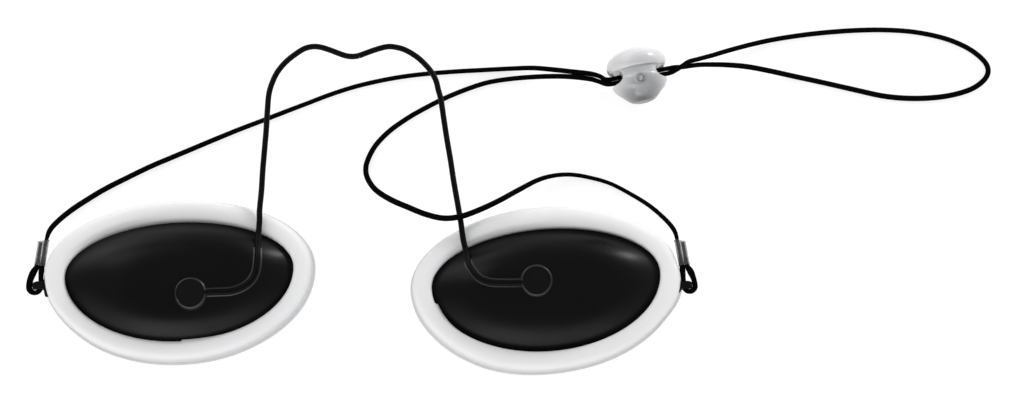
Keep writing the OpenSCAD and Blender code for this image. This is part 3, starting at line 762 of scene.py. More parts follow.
@dataclass
class Cup:
    """One eye cup: cover, seal, disc of the wire, lug for the cord."""

    side: Side
    x: float
    y: float
    tilt: float
    lug_drop: float
    shift: tuple[float, float]
    pad_at: tuple[float, float]
    dome_route: list[tuple[float, float]]
    rim_route: list[tuple[float, float]]
    flash_at: float
    flash: float
    lip_over: float
    droop_at: float
    web_low: float
    bulges: list[tuple[float, float, float]]
    sizes: CupSizes = field(default_factory=CupSizes)
    columns: int = 384

    @property
    def body(self) -> str:
        """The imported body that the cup's pieces ride on."""
        return f"{self.side.word}_cup"

    def placed(self, q: np.ndarray, z: np.ndarray) -> np.ndarray:
        """Places of the cup's own frame, in the assembly's, with their heights.

        Args:
            q: Places (across, up) in the cup's own frame.
            z: Their heights above the table.

        Returns:
            Points in millimetres.
        """
        c, s = math.cos(math.radians(self.tilt)), math.sin(math.radians(self.tilt))
        x, y = q[..., 0], q[..., 1]
        return np.stack([self.x + x * c - y * s, self.y + x * s + y * c,
                         np.broadcast_to(z, x.shape)], axis=-1)

    def dome_z(self, q: np.ndarray) -> np.ndarray:
        """Height of the dome: its rise falls with a power of the share of its outline.

        Args:
            q: Places in the cup's own frame.

        Returns:
            The heights.
        """
        s, q = self.sizes, q - np.array(self.shift)
        depth = np.where(q[..., 1] > 0, s.upper, s.lower) - s.seal_w
        share = np.hypot(q[..., 0] / (s.half_w - s.seal_w), q[..., 1] / depth)
        return s.flange_top + s.rise * (1 - np.minimum(share, 1) ** s.power)

    def named(self, piece: str) -> str:
        """The name of one of the cup's pieces or nodes."""
        return f"{self.side.word}_{piece}"

    def cover(self) -> None:
        """The shell: an outer dome, the flange in the seal and an inner dome one wall below.

        Rows go from the pole outwards and back inside. The dome's height is
        rise * (1 - share ** power), and the inner one has a smaller rise.
        """
        s = self.sizes
        pole = 0.004
        low, inner = s.seal_w - s.painted_groove_shade_d + s.painted_groove_shade_gap, s.seal_w + s.wall
        inner_rise = s.flange_top + s.rise - s.wall - s.flange_z
        rows = [(s.seal_w, k, s.flange_top + s.rise * (1 - k**s.power))
                for k in np.linspace(pole, 1, 150)]
        rows += [(w, 1, s.flange_top)
                 for w in np.linspace(s.seal_w - 2 * s.edge, low + s.edge, 4)]
        rows += [(low, 1, s.flange_top - s.edge), (low, 1, s.flange_z + s.edge)]
        rows += [(w, 1, s.flange_z) for w in np.linspace(low + s.edge, inner - 2 * s.edge, 4)]
        rows += [(inner, k, s.flange_z + inner_rise * (1 - k**s.power))
                 for k in np.linspace(1, pole, 60)]
        inset, share, z = (np.array(v)[:, None] for v in zip(*rows))
        q = s.egg(turns(self.columns)[None], inset, share) + np.array(self.shift)
        ride(surface(self.named("eye_cover"), self.placed(q, z)), SHELL, self.body,
             self.named("shell"))

    def bump(self, middle: float, reach: float) -> np.ndarray:
        """One at an angle of the outline, falling to nothing at so many degrees either side."""
        off = (turns(self.columns) - math.radians(middle) + math.pi) % (2 * math.pi) - math.pi
        return eased(1 - np.abs(off) / math.radians(reach))[None]

    def seal(self) -> None:
        """The seal: a rounded section carried round the outline, with flash on its inner lip.

        Each point of the section has an inset, a height and the share of the shell's shift
        that it takes. The lip lies within 1.2 mm of a height 0.6 mm over the flange and past the
        last millimetre of the inset. Its inset grows by the flash at one angle, where the mould
        parts, and the flash dies away over half a radian. Round one angle the lip droops, and at
        a few more the soft outer wall, up to 2.4 mm in, bulges or is pressed in.
        """
        s = self.sizes
        top, lip_z, low_z = s.seal_h, s.flange_top + s.painted_groove_shade_gap, s.flange_z - s.painted_groove_shade_gap
        w = s.seal_w
        loop = np.array([
            [1.5, 0, 0], [0.75, 0, 0], [0.15, 0.3, 0], [-0.02, 0.85, 0], [0.02, 1.4, 0],
            [0.6, 1.62, 0], [0.62, 2.3, 0], [0.5, 3.3, 0], [0.52, 4.5, 0], [0.8, top - 1.4, 0],
            [1.2, top - 0.7, 0], [1.9, top - 0.18, 0.2], [w - 2, top + 0.02, 0.5],
            [w - 0.9, top, 0.8], [w - 0.25, top - 0.12, 1], [w - 0.04, top - 0.5, 1],
            [w, lip_z + 0.2, 1], [w, lip_z, 1], [w - s.painted_groove_shade_d, lip_z, 1],
            [w - s.painted_groove_shade_d, low_z, 1], [w + 0.3, low_z, 1], [w + 0.5, 2.9, 1],
            [w + 0.1, 1.1, 1], [w - 0.8, 0, 1]])
        inset, z, share = (column[:, None] for column in rounded(loop, 2).T)
        a = turns(self.columns)[None]
        past = (a - math.radians(self.flash_at)) % (2 * math.pi)
        lip = eased(1 - np.abs(z - s.flange_top - 0.6) / 1.2) * eased((inset - w + 1) / 0.6)
        inset = inset + lip * self.flash * eased(past / 0.01) * eased(1 - past / 0.5)
        inset = inset + lip * self.lip_over * np.abs(np.sin(a))
        z = z - s.droop * eased((inset - w + 1.4) / 1.4) * eased(z - lip_z) * self.bump(
            self.droop_at, 60)
        outer = eased((2.4 - inset) / 1.6)
        for middle, reach, size in self.bulges:
            inset = inset - size * outer * self.bump(middle, reach)
        q = s.egg(a, inset) + share[..., None] * np.array(self.shift)
        ride(surface(self.named("face_seal"), self.placed(q, z), looped=True), SEAL, self.body,
             self.named("seal"))

    def wire_z(self, q: np.ndarray, rise: float, over_seal: float) -> np.ndarray:
        """Height of the wire's middle: just above the dome, and level where it clears the seal."""
        return np.maximum(self.dome_z(q) + rise, over_seal)

    def disc(self, low: float) -> None:
        """The disc on the wire's end: filleted edge and a shallow dish, turned about its axis.

        Args:
            low: Height of the disc's underside.
        """
        s = self.sizes
        fillet, dip, corner, axis = 0.12, 0.02, 0.1, 0.02
        edge = [s.pad_r - fillet, s.pad_t - fillet] + arc(fillet, math.pi / 2, 0, 6)
        dish = np.linspace(axis, s.pad_r - fillet, 14)
        face = np.stack([dish, s.pad_t - dip * (1 - (dish / dish[-1]) ** 2)], 1)
        profile = np.concatenate([face, edge[1:], [[s.pad_r, corner], [s.pad_r - corner, 0],
                                                   [axis, 0]]])
        obj = revolved(self.named("wire_disc"), profile, 96)
        centre = self.placed(np.array(self.pad_at), np.array(low)) * MM
        obj.data.transform(Matrix.Translation(Vector(centre)))
        ride(obj, DISC, self.body, self.named("wire_pad"))

    def disc_lip(self, low: float) -> None:
        """The raised lip round the disc's seat: a bead that runs out into the dome.

        Its crest stands a little over the higher of the dome and the disc's edge, and its
        skirts end just under the dome.

        Args:
            low: Height of the disc's underside.
        """
        s = self.sizes
        across = np.array([-0.12, -0.12, -0.1, -0.06, -0.02, 0.03, 0.08, 0.15, 0.3, 0.7])[:, None]
        bead = np.array([-0.7, 0.0, 0.07, 0.11, 0.12, 0.11, 0.07, 0.0, -0.15, -0.45])[:, None]
        sink, root = 0.05, 1.2
        q = self.pad_at + (s.pad_r + s.pad_gap + across)[..., None] * circle(1, 160)
        ground = self.dome_z(q)
        crest = np.maximum(ground + sink, low + s.pad_t)
        fall = eased((across - 0.15) / 0.6)
        z = crest * (1 - fall) + (ground - sink) * fall + bead
        z[0] = low
        under = self.placed(q[[-1, 0]], np.stack([ground[-1] - root, np.full(len(z[0]), low)]))
        ride(surface(self.named("disc_lip"), np.concatenate([self.placed(q, z), under]),
                     looped=True), BEAD, self.body)

    def lug(self) -> None:
        """The cord lug: a web out of the flange and an eye with a rounded mouth."""
        s = self.sizes
        left = self.side is Side.LEFT
        hole = CordSizes().radius + s.lug_gap
        tip, half_len, half, half_w, far = s.lug_tip / 2, s.lug_len / 2, s.flange_t / 2, s.web_w / 2, 4
        ring = np.concatenate([
            [[hole, half_len - 0.1], [hole + 0.1, half_len], [hole + s.lug_tip - 0.2, half_len],
             [hole + s.lug_tip, half_len - 0.2]],
            [hole + tip, tip - half_len] + arc(tip, 0, -math.pi, 17)])
        eye = revolved("eye", ring, 64, scale=1, looped=True)
        eye.data.transform(Matrix.Rotation(-math.pi / 2, 4, "X"))
        eye.data.transform(Matrix.Scale(-1, 4, (0, 1, 0)))
        eye.data.flip_normals()
        root, wide, end = s.seal_w + s.lug_reach - s.web_in, s.lug_reach + s.web_short, hole * 0.4
        plan = np.array([[-root, -self.web_low], [-wide, -self.web_low], [-hole, -half_len],
                         [-end, -half_len], [-end, half_len], [-hole, half_len],
                         [-wide, half_w], [-root, half_w]])
        works = [(Work.CUT, slab((-far, -far, -far), (-hole, far, far))),
                 (Work.JOIN, prism("web", plan, 2, -half, half)),
                 (Work.CUT, slab((-1.5 * far, -far, s.lug_h / 2), (far, far, far))),
                 (Work.CUT, slab((-1.5 * far, -far, -far), (far, far, -s.lug_h / 2))),
                 (Work.CUT, rod([[0, -3, 0], [0, 0, 0], [0, 3, 0]], hole))]
        at = self.placed(np.array([self.side.value * s.hole_x, -self.lug_drop]), s.lug_z)
        place = (Matrix.Translation(Vector(at))
                 @ Matrix.Rotation(math.radians(self.tilt + 180 * left), 4, "Z")
                 @ Matrix.Rotation(math.pi * left, 4, "X"))
        ride(Moulding(0.07, 3).make(self.named("cord_lug"), eye, works, place), SHELL, self.body)


# The bridge


@dataclass
class Bridge:
    """The bendable wire in its sleeve, from one disc over the nose to the other."""

    left: Cup
    right: Cup
    wire_r: float = 0.4
    sleeve_r: float = 0.65
    z: float = 8.0
    rise: float = 0.05
    over_seal_gap: float = 0.35
    bead_step: float = 0.25
    bead_fade: tuple[float, float] = (0.05, 0.55)
    bead_sink: float = 0.02
    sleeve_in: float = 0.3
    wire_in: float = 0.3
    steps: int = 8
    route: list[tuple[float, float]] = field(default_factory=lambda: [
        (-22.2, 3.4), (-22, 8), (-21.7, 12.5), (-21.4, 17), (-21.2, 21.6), (-20.9, 25.5),
        (-20, 28.5), (-18.8, 30.8), (-16.8, 33.1), (-13.9, 35.3), (-12.3, 36), (-10.8, 36.2),
        (-9.3, 36), (-7.4, 35.4), (-5.6, 34.7), (-3.9, 34.1), (-2.4, 33.9), (-0.9, 34.1),
        (0.7, 34.7), (2.6, 35.4), (4.6, 36), (6.1, 36.2), (7.6, 36), (9.3, 35.5), (11.3, 34.4),
        (13.1, 33), (15.1, 30.8), (16.4, 28.5), (17, 26.2), (17.6, 23.9), (18.3, 19.3),
        (19, 14.8), (19.8, 10.2), (20.5, 5.6)])
    left_bend: tuple[int, int] = (10, 12)
    centre_bend: tuple[int, int] = (15, 17)
    right_bend: tuple[int, int] = (20, 22)

    @property
    def over_seal(self) -> float:
        """Height of the wire's middle where it crosses a seal."""
        return self.left.sizes.seal_h + self.over_seal_gap + self.sleeve_r

    def leg(self, cup: Cup) -> np.ndarray:
        """Route points of the wire over a cup, from its disc outwards.

        Args:
            cup: The cup.

        Returns:
            The points, in the assembly's frame.
        """
        dome, rim = np.array(cup.dome_route), np.array(cup.rim_route)
        return np.concatenate([cup.placed(dome, cup.wire_z(dome, self.rise, self.over_seal)),
                               cup.placed(rim, np.full(len(rim), self.over_seal))])

    def line(self) -> np.ndarray:
        """The wire's middle line, in which the route's points are self.steps apart.

        Returns:
            Its points, in the assembly's frame.
        """
        over = np.column_stack([np.array(self.route), np.full(len(self.route), self.z)])
        return catmull(np.concatenate([self.leg(self.left), over, self.leg(self.right)[::-1]]),
                       self.steps)

    def disc_low(self, cup: Cup) -> float:
        """Height of the disc's underside: the wire enters the disc at half its thickness."""
        return self.leg(cup)[0, 2] - cup.sizes.pad_t / 2

    def build(self) -> None:
        """The sleeve and the wire in three pieces each, split either side of the centre bend."""
        line = self.line()
        first = len(self.leg(self.left)) + np.array(self.centre_bend)
        cuts = first * self.steps + 2
        spans = {
            "left": (("left_cup", "bridge_left"), self.left_bend,
                     ("left_leg", "left_bend", "left_crest")),
            "centre": (("bridge_left", "bridge_right"), self.centre_bend, ("centre_bend",)),
            "right": (("bridge_right", "right_cup"), self.right_bend,
                      ("right_crest", "right_bend", "right_leg"))}
        for kind, radius, finish, into in (("sleeve", self.sleeve_r, SLEEVE, self.sleeve_in),
                                           ("wire", self.wire_r, WIRE_STEEL, self.wire_in)):
            start, end = (tip + np.outer([1.0, 0.5], (tip - beside) / np.linalg.norm(tip - beside))
                          * into for tip, beside in ((line[0], line[1]), (line[-1], line[-2])))
            whole = np.concatenate([start, line, end[::-1]])
            limits = [0, *cuts, len(whole) - 1]
            for (name, (bodies, bent, nodes)), low, high in zip(spans.items(), limits, limits[1:]):
                obj = surface(f"{name}_bridge_{kind}",
                              swept(whole[low:high + 1], circle(radius, 24)))
                bend(obj, finish, bodies, tuple([*self.route[k], self.z] for k in bent),
                     tuple(f"{node}_{kind}" for node in nodes))

    def bed(self, cup: Cup) -> None:
        """Thin beads of the shell along both sides of the wire, from the disc to the rim.

        Each bead's section, as offset and height, rises from under the dome beside the wire and
        runs out again. Its height fades with the wire's own height over the dome, and the bead
        ends where the wire leaves the dome.

        Args:
            cup: The cup whose dome the wire lies in.
        """
        flat = respaced(catmull(np.array(cup.dome_route), self.steps), self.bead_step)
        ahead = np.gradient(flat, axis=0)
        ahead /= np.linalg.norm(ahead, axis=1, keepdims=True)
        lifted = self.over_seal - self.rise - cup.dome_z(flat)
        near, far = self.bead_fade
        fade = eased((far - lifted) / (far - near))
        keep = fade > 0.02
        flat, fade = flat[keep][:, None], fade[keep][:, None]
        beside = (ahead[keep] @ np.array([[0, 1], [-1, 0]]))[:, None]
        offset = np.array([0.4, 0.52, 0.58, 0.64, 0.7, 0.78, 0.87, 1.0, 1.15, 0.8])[:, None]
        height = np.array([-0.5, 0.02, 0.08, 0.12, 0.13, 0.11, 0.05, 0.0, -0.15, -0.6])
        for name, sign in (("upper", 1), ("lower", -1)):
            q = flat + sign * offset * beside
            z = cup.dome_z(q) - self.bead_sink + np.where(height > 0, height * fade, height)
            ride(surface(cup.named(f"wire_bed_{name}"), cup.placed(q, z)), BEAD, cup.body)


# The cord


@dataclass(frozen=True)
class CordSizes:
    """The elastic cord, and the clear sleeves that close its eyes."""

    radius: float = 0.525
    strand_off: float = 0.545
    sleeve_wall: float = 0.15
    sleeve_gap: float = 0.015
    table_gap: float = 0.02
    sleeve_len: float = 5.6
    sleeve_start: float = 4.5
    tail_short: float = 0.4
    pressed_r: float = 0.34
    braid_depth: float = 0.03
    carriers: int = 8
    sides: int = 32
    spacing: float = 0.13


LEFT_ROUTE = [
    (-69.7, -4.9, 3.9), (-67.9, -2.3, 2.5), (-65, 0.5, 1.2), (-61.5, 3, 0.6),
    (-57.9, 5.2, 0.55), (-53.3, 7.6, 0.55), (-48.3, 10.1, 0.55), (-43.3, 12.3, 0.55),
    (-38.2, 14.5, 0.55), (-33.1, 16.7, 0.55), (-28.1, 18.8, 0.55), (-23, 20.8, 0.55),
    (-18, 22.8, 0.55), (-12.9, 24.8, 0.55), (-7.8, 26.8, 0.55), (-2.7, 28.5, 0.55),
    (2.4, 29.8, 0.55), (7.5, 30.8, 0.55), (12.6, 31.5, 0.55), (19.4, 32.1, 0.55),
    (26.2, 32.5, 0.55), (33, 32.8, 0.8), (38.2, 32.7, 1.9), (43.2, 31.9, 3.5),
    (47.2, 31.1, 5), (51, 30.4, 6.1), (53.1, 29.7, 6.7)]
RIGHT_ROUTE = [
    (69.7, -5, 4.2), (67.8, -2.3, 2.9), (64.4, 1, 1.6), (60.1, 3.9, 0.8),
    (55.6, 6.3, 0.55), (51.2, 7.6, 0.6), (47, 8.2, 1.1), (43.2, 7.8, 2.3), (39.4, 6.5, 3.8),
    (34.8, 3.7, 6), (30.4, 0.9, 8), (26, -1.4, 9.3), (22, -2.9, 9.8), (18.2, -3.2, 9.6),
    (14.2, -2.1, 8.6), (10.2, -0.2, 6.9), (6.4, 1.8, 4.9), (3, 4.3, 2.9), (1.1, 7, 1.5),
    (0.5, 9.4, 0.9), (1, 11.9, 0.6), (2.7, 15.1, 0.55), (5.7, 18.3, 0.55),
    (9.2, 20.9, 0.55), (12.6, 23, 0.55), (17.7, 25.7, 0.55), (22.8, 27.9, 0.55),
    (27.9, 29.6, 0.55), (33, 30.4, 0.8), (38.2, 30.6, 1.9), (43.2, 30.4, 3.5),
    (47.2, 29.9, 5), (51, 29.2, 6), (52.8, 28.6, 6.4)]
BIGHT_ROUTE = [
    (70.2, 31.8, 6.4), (71.8, 31.9, 6.2), (73.5, 32.2, 6), (75.9, 32.6, 5.5),
    (79, 32.8, 4.8), (82, 32.9, 4.1), (86.5, 32.8, 2.9), (91.4, 32.2, 1.7), (97.8, 31, 0.7),
    (104.6, 29.5, 0.55), (111.4, 27.9, 0.55), (118.2, 26.4, 0.55), (125, 25.9, 0.55),
    (131.8, 26.4, 0.55), (137.4, 27.9, 0.55), (140.7, 30.1, 0.55), (141.8, 32.4, 0.55),
    (140.8, 34.8, 0.55), (137.4, 37.6, 0.55), (132.2, 39.9, 0.55), (125.4, 41.4, 0.55),
    (118.6, 41.9, 0.55), (111.8, 41.8, 0.55), (105, 41.3, 0.55), (99, 40.6, 0.55),
    (93, 39.6, 0.7), (87.6, 38.2, 1.5), (82.3, 36.4, 3.1), (78.8, 35, 4.6),
    (75.8, 33.9, 5.9), (73.3, 33, 6.8), (71.8, 31.9, 7.4), (70.4, 31, 7.3)]


# Radius of the soft cord at some of the points above, by their number: it is thicker where slack
LEFT_THICK = [(0, 0.6), (2, 0.65), (5, 0.61), (9, 0.57), (13, 0.525), (21, 0.53), (23, 0.58),
              (25, 0.58), (26, 0.54)]
RIGHT_THICK = [(0, 0.53), (2, 0.5), (4, 0.45), (7, 0.5), (9, 0.6), (11, 0.64), (16, 0.67),
               (19, 0.61), (24, 0.57), (28, 0.55), (30, 0.58), (32, 0.58), (33, 0.54)]
BIGHT_THICK = [(0, 0.53), (3, 0.54), (6, 0.62), (9, 0.6), (12, 0.64), (16, 0.6), (20, 0.56),
               (23, 0.58), (27, 0.55), (29, 0.53), (32, 0.53)]


@dataclass
class Eye:
    """The eye at one end of the cord: round the lug's tip and back, closed by a clear sleeve."""

    cup: Cup
    lean: float
    out: float
    slack: float
    bulge_r: float
    beyond_r: float
    slant: float = 0.3
    cord: CordSizes = field(default_factory=CordSizes)

    @property
    def body(self) -> str:
        """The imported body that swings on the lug."""
        return f"{self.cup.side.word}_cord_end"

    def leaned(self, u: float, v: float) -> np.ndarray:
        """A place across and along the clear sleeve, in the lug's own frame.

        Args:
            u: Distance across from the sleeve's middle.
            v: Distance along it.

        Returns:
            The place.
        """
        a = math.radians(self.lean)
        return np.array([self.out + u * math.cos(a) - v * math.sin(a),
                         self.cord.sleeve_start + u * math.sin(a) + v * math.cos(a)])

    def placed(self, q: np.ndarray) -> np.ndarray:
        """Places of the lug's own frame, which points away from the nose, in the assembly's.

        Args:
            q: The places, level with the lug's middle.

        Returns:
            The same places as points.
        """
        s, out = self.cup.sizes, self.cup.side.value
        q = np.stack([out * (s.hole_x + q[..., 0]), q[..., 1] - self.cup.lug_drop], axis=-1)
        return self.cup.placed(q, np.full(q.shape[:-1], s.lug_z))

    def route(self) -> np.ndarray:
        """Points from the tail's end round the lug's tip, through its hole and out again.

        Returns:
            The points, in the assembly's frame.
        """
        c, s = self.cord, self.cup.sizes
        hole, tip = c.radius + s.lug_gap, s.lug_tip / 2
        loop_r = (hole + s.lug_tip + self.slack + c.radius) / 2
        loop_low = tip - s.lug_len / 2
        outer, inner = self.leaned(c.strand_off, 0), self.leaned(-c.strand_off, 0)
        low, high = np.array([2 * loop_r, loop_low]), np.array([0, s.lug_len / 2])

        def bow(a: np.ndarray, b: np.ndarray, t: float) -> np.ndarray:
            """Between a and b, leaving a straight and bending towards b."""
            return a + (b - a) * np.array([1 - math.cos(math.pi / 2 * t), t])

        turn = [[loop_r * (1 + math.cos(math.radians(k))),
                 loop_low + loop_r * math.sin(math.radians(k))] for k in range(0, -181, -30)]
        return self.placed(np.array([
            self.leaned(c.strand_off, c.sleeve_len - c.tail_short),
            self.leaned(c.strand_off, c.sleeve_len / 2), outer, bow(low, outer, 2 / 3),
            bow(low, outer, 1 / 3), *turn, high, bow(high, inner, 1 / 3), bow(high, inner, 2 / 3),
            inner, self.leaned(-c.strand_off, c.sleeve_len / 2),
            self.leaned(-c.strand_off, c.sleeve_len)]))

    def thickness(self) -> tuple[np.ndarray, np.ndarray]:
        """Radius of the soft cord at some of the route's points: pressed, bulged and plain.

        Returns:
            The numbers of those points, and the radii there.
        """
        c = self.cord
        return np.array([
            (0, c.pressed_r), (1, c.pressed_r), (2, 0.54), (3, 0.8), (4, self.bulge_r),
            (5, self.bulge_r), (8, 0.54), (12, c.radius), (13, 0.56), (14, 0.68), (15, 0.56),
            (16, c.pressed_r), (17, 0.4), (18, self.beyond_r)]).T

    def clear_sleeve(self) -> None:
        """The shrunk sleeve: a flat oval that is drawn in between the strands and at its ends.

        The section is a superellipse round both strands with a shallow waist between them,
        flared at both ends. The far end is cut slanting, so that its outer side is the shorter.
        """
        c = self.cord
        rows, ring = np.linspace(0, 1, 40), circle(1, 48)
        line = self.placed(np.stack([self.leaned(0, c.sleeve_len * t) for t in rows]))
        half = np.array([c.strand_off + c.radius, c.radius]) + c.sleeve_gap
        oval = half * np.sign(ring) * np.abs(ring) ** 0.8
        oval[:, 1] *= 1 - 0.1 * np.exp(-((ring[:, 0] * half[0]) / 0.4) ** 2)
        flare = 1 + 0.04 * np.exp(-(rows / 0.05) ** 2) + 0.06 * np.exp(-((rows - 1) / 0.05) ** 2)
        ahead = (line[-1] - line[0]) / np.linalg.norm(line[-1] - line[0])
        away = (self.placed(self.leaned(1, 0)) - self.placed(self.leaned(0, 0))) / half[0]
        skins = []
        for section in (oval * (1 + c.sleeve_wall / half), oval):
            rings = swept(line, section * flare[:, None, None])
            short = self.slant * ((rings - line[:, None]) @ away) * rows[:, None] ** 6
            skins.append(rings - short[..., None] * ahead)
        ride(surface(self.cup.named("clear_sleeve"), np.concatenate([skins[0], skins[1][::-1]]),
                     looped=True), CLEAR, self.body, self.cup.named("crimp"))


@dataclass
class Stretch:
    """A stretch of the cord that crosses one joint, by the numbers of its route points."""

    name: str
    first: int
    last: int
    bodies: tuple[str, str]
    start: tuple[float, float, float]
    end: tuple[float, float, float]
    nodes: tuple[str, ...]


@dataclass
class Cord:
    """The elastic cord as one line, from the left eye through the lock and back to the right."""

    left: Eye
    right: Eye
    lock: Lock
    sizes: CordSizes = field(default_factory=CordSizes)
    steps: int = 12

    def parts(self) -> list[np.ndarray]:
        """The route in seven parts: eye, left, strand, bight, strand, right, eye.

        Returns:
            The parts in that order.
        """
        half = self.lock.strand_half
        across = np.linspace(-half, half, 5)
        off = self.sizes.strand_off
        return [self.left.route(), np.array(LEFT_ROUTE, float),
                self.lock.on_passage(across, off), np.array(BIGHT_ROUTE, float),
                self.lock.on_passage(across[::-1], -off), np.array(RIGHT_ROUTE, float)[::-1],
                self.right.route()[::-1]]

    def line(self) -> tuple[np.ndarray, np.ndarray, float]:
        """The whole cord as points an equal length apart, lifted where it would sink in the table.

        Between the points where its radius is given, the radius is interpolated, and a running
        mean rounds the steps.

        Returns:
            The points with their radii, the number among them of each route point, and the
            length from point to point.
        """
        parts = self.parts()
        ends = np.cumsum([len(p) for p in parts])
        rough = catmull(np.concatenate(parts), self.steps)
        along = lengths_along(rough)
        line = respaced(rough, self.sizes.spacing)
        step = along[-1] / (len(line) - 1)
        at = np.rint(along[::self.steps] / step).astype(int)
        radii = np.full(len(line), self.sizes.radius)
        for numbers, (places, thick) in (
                (at, self.left.thickness()), (at[::-1], self.right.thickness()),
                (at[ends[0]:], np.array(LEFT_THICK).T), (at[ends[2]:], np.array(BIGHT_THICK).T),
                (at[::-1][len(parts[-1]):], np.array(RIGHT_THICK).T)):
            known = numbers[places.astype(int)]
            order = np.argsort(known)
            span = np.arange(known.min(), known.max() + 1)
            radii[span] = np.interp(span, known[order], thick[order])
        radii = self.evened(radii)
        line[:, 2] = np.maximum(line[:, 2], radii + self.sizes.table_gap)
        return np.column_stack([line, radii]), at, step

    def stretches(self) -> list[Stretch]:
        """The stretches between the eyes, each over one joint, with where it bends.

        Returns:
            The stretches in order from the left eye.
        """
        ends = np.cumsum([len(p) for p in self.parts()])
        left, lock, bight, right = ends[0], ends[2] - 2, ends[3] + 1, ends[5] - 1
        return [
            Stretch("left_cord_by_cup", left - 2, left + 7, ("left_cord_end", "left_cup"),
                    (-69.7, -4.9, 3.9), (-47, 10.6, 0.55), ("left_cord",)),
            Stretch("left_cord_by_bridge", left + 7, left + 17, ("left_cup", "bridge_left"),
                    (-42, 12.8, 0.55), (5, 30.4, 0.55), ("left_cord",)),
            Stretch("left_cord_to_lock", left + 17, lock, ("bridge_left", "cord_lock"),
                    (10, 31.2, 0.55), (46, 31.5, 4.5), ("left_cord", "cord_in_lock")),
            Stretch("cord_bight_loop", lock, bight, ("cord_lock", "bridge_left"),
                    (77, 33.5, 5), (130, 33.5, 0.55), ("cord_bight",)),
            Stretch("right_cord_to_lock", bight, right - 24, ("bridge_left", "cord_lock"),
                    (14, 23.8, 0.55), (46, 30, 4.5), ("right_cord", "cord_in_lock")),
            Stretch("right_cord_turn", right - 24, right - 14, ("bridge_left", "bridge_right"),
                    (3, 15.5, 0.55), (13.6, -1.8, 8.4), ("right_cord",)),
            Stretch("right_cord_hump", right - 14, right - 6, ("bridge_right", "right_cup"),
                    (15, -2.4, 8.8), (46, 8.1, 1.4), ("right_cord",)),
            Stretch("right_cord_by_cup", right - 6, right + 2, ("right_cup", "right_cord_end"),
                    (49, 7.9, 0.8), (69.7, -5, 4.2), ("right_cord",))]

    def build(self) -> None:
        """Makes the two eyes, then makes and dresses each stretch between them and logs its length."""
        line, at, step = self.line()
        stretches = self.stretches()
        for side, low, high in (("left", 0, at[stretches[0].first]),
                                ("right", at[stretches[-1].last], at[-1])):
            ride(self.tube(f"{side}_cord_eye_loop", line, low, high, step), CORD,
                 f"{side}_cord_end", f"{side}_cord_eye")
        for s in stretches:
            low, high = at[s.first], at[s.last]
            obj = self.tube(s.name, line, low, high, step)
            bend(obj, CORD, s.bodies, (s.start, s.end), s.nodes)
            path = line[low:high + 1, :3] * MM
            length = float(lengths_along(path)[-1])
            log.info("%s is %.1f mm long", s.name, length / MM)

    @staticmethod
    def evened(values: np.ndarray, over: int = 9) -> np.ndarray:
        """Running mean of the values, with the first and the last carried on past the ends."""
        padded = np.pad(values, over // 2, mode="edge")
        return np.convolve(padded, np.full(over, 1 / over), mode="valid")

    def tube(self, name: str, line: np.ndarray, low: int, high: int,
             step: float) -> Object:
        """A stretch of the braided tube, in phase with the stretches beside it.

        The radius swells by the braid's depth times cos(carriers * angle) * cos(turn along),
        which lays the swells of one ring between those of the next.

        Args:
            name: The piece's name.
            line: The whole cord's points, each with the radius there.
            low: Number of the stretch's first point.
            high: Number of its last point.
            step: Length from point to point.

        Returns:
            The piece.
        """
        c = self.sizes
        number, a = np.arange(low, high + 1)[:, None], turns(c.sides)
        pick = 2 * math.pi * c.radius / c.carriers
        swell = np.cos(c.carriers * a) * np.cos(2 * math.pi * number * step / pick)
        r = line[low:high + 1, 3:] + c.braid_depth / 2 * swell
        return surface(name, swept(line[low:high + 1, :3], r[..., None] * circle(1, c.sides)),
                       step=(step, 2 * math.pi * c.radius / c.sides))


# The lock


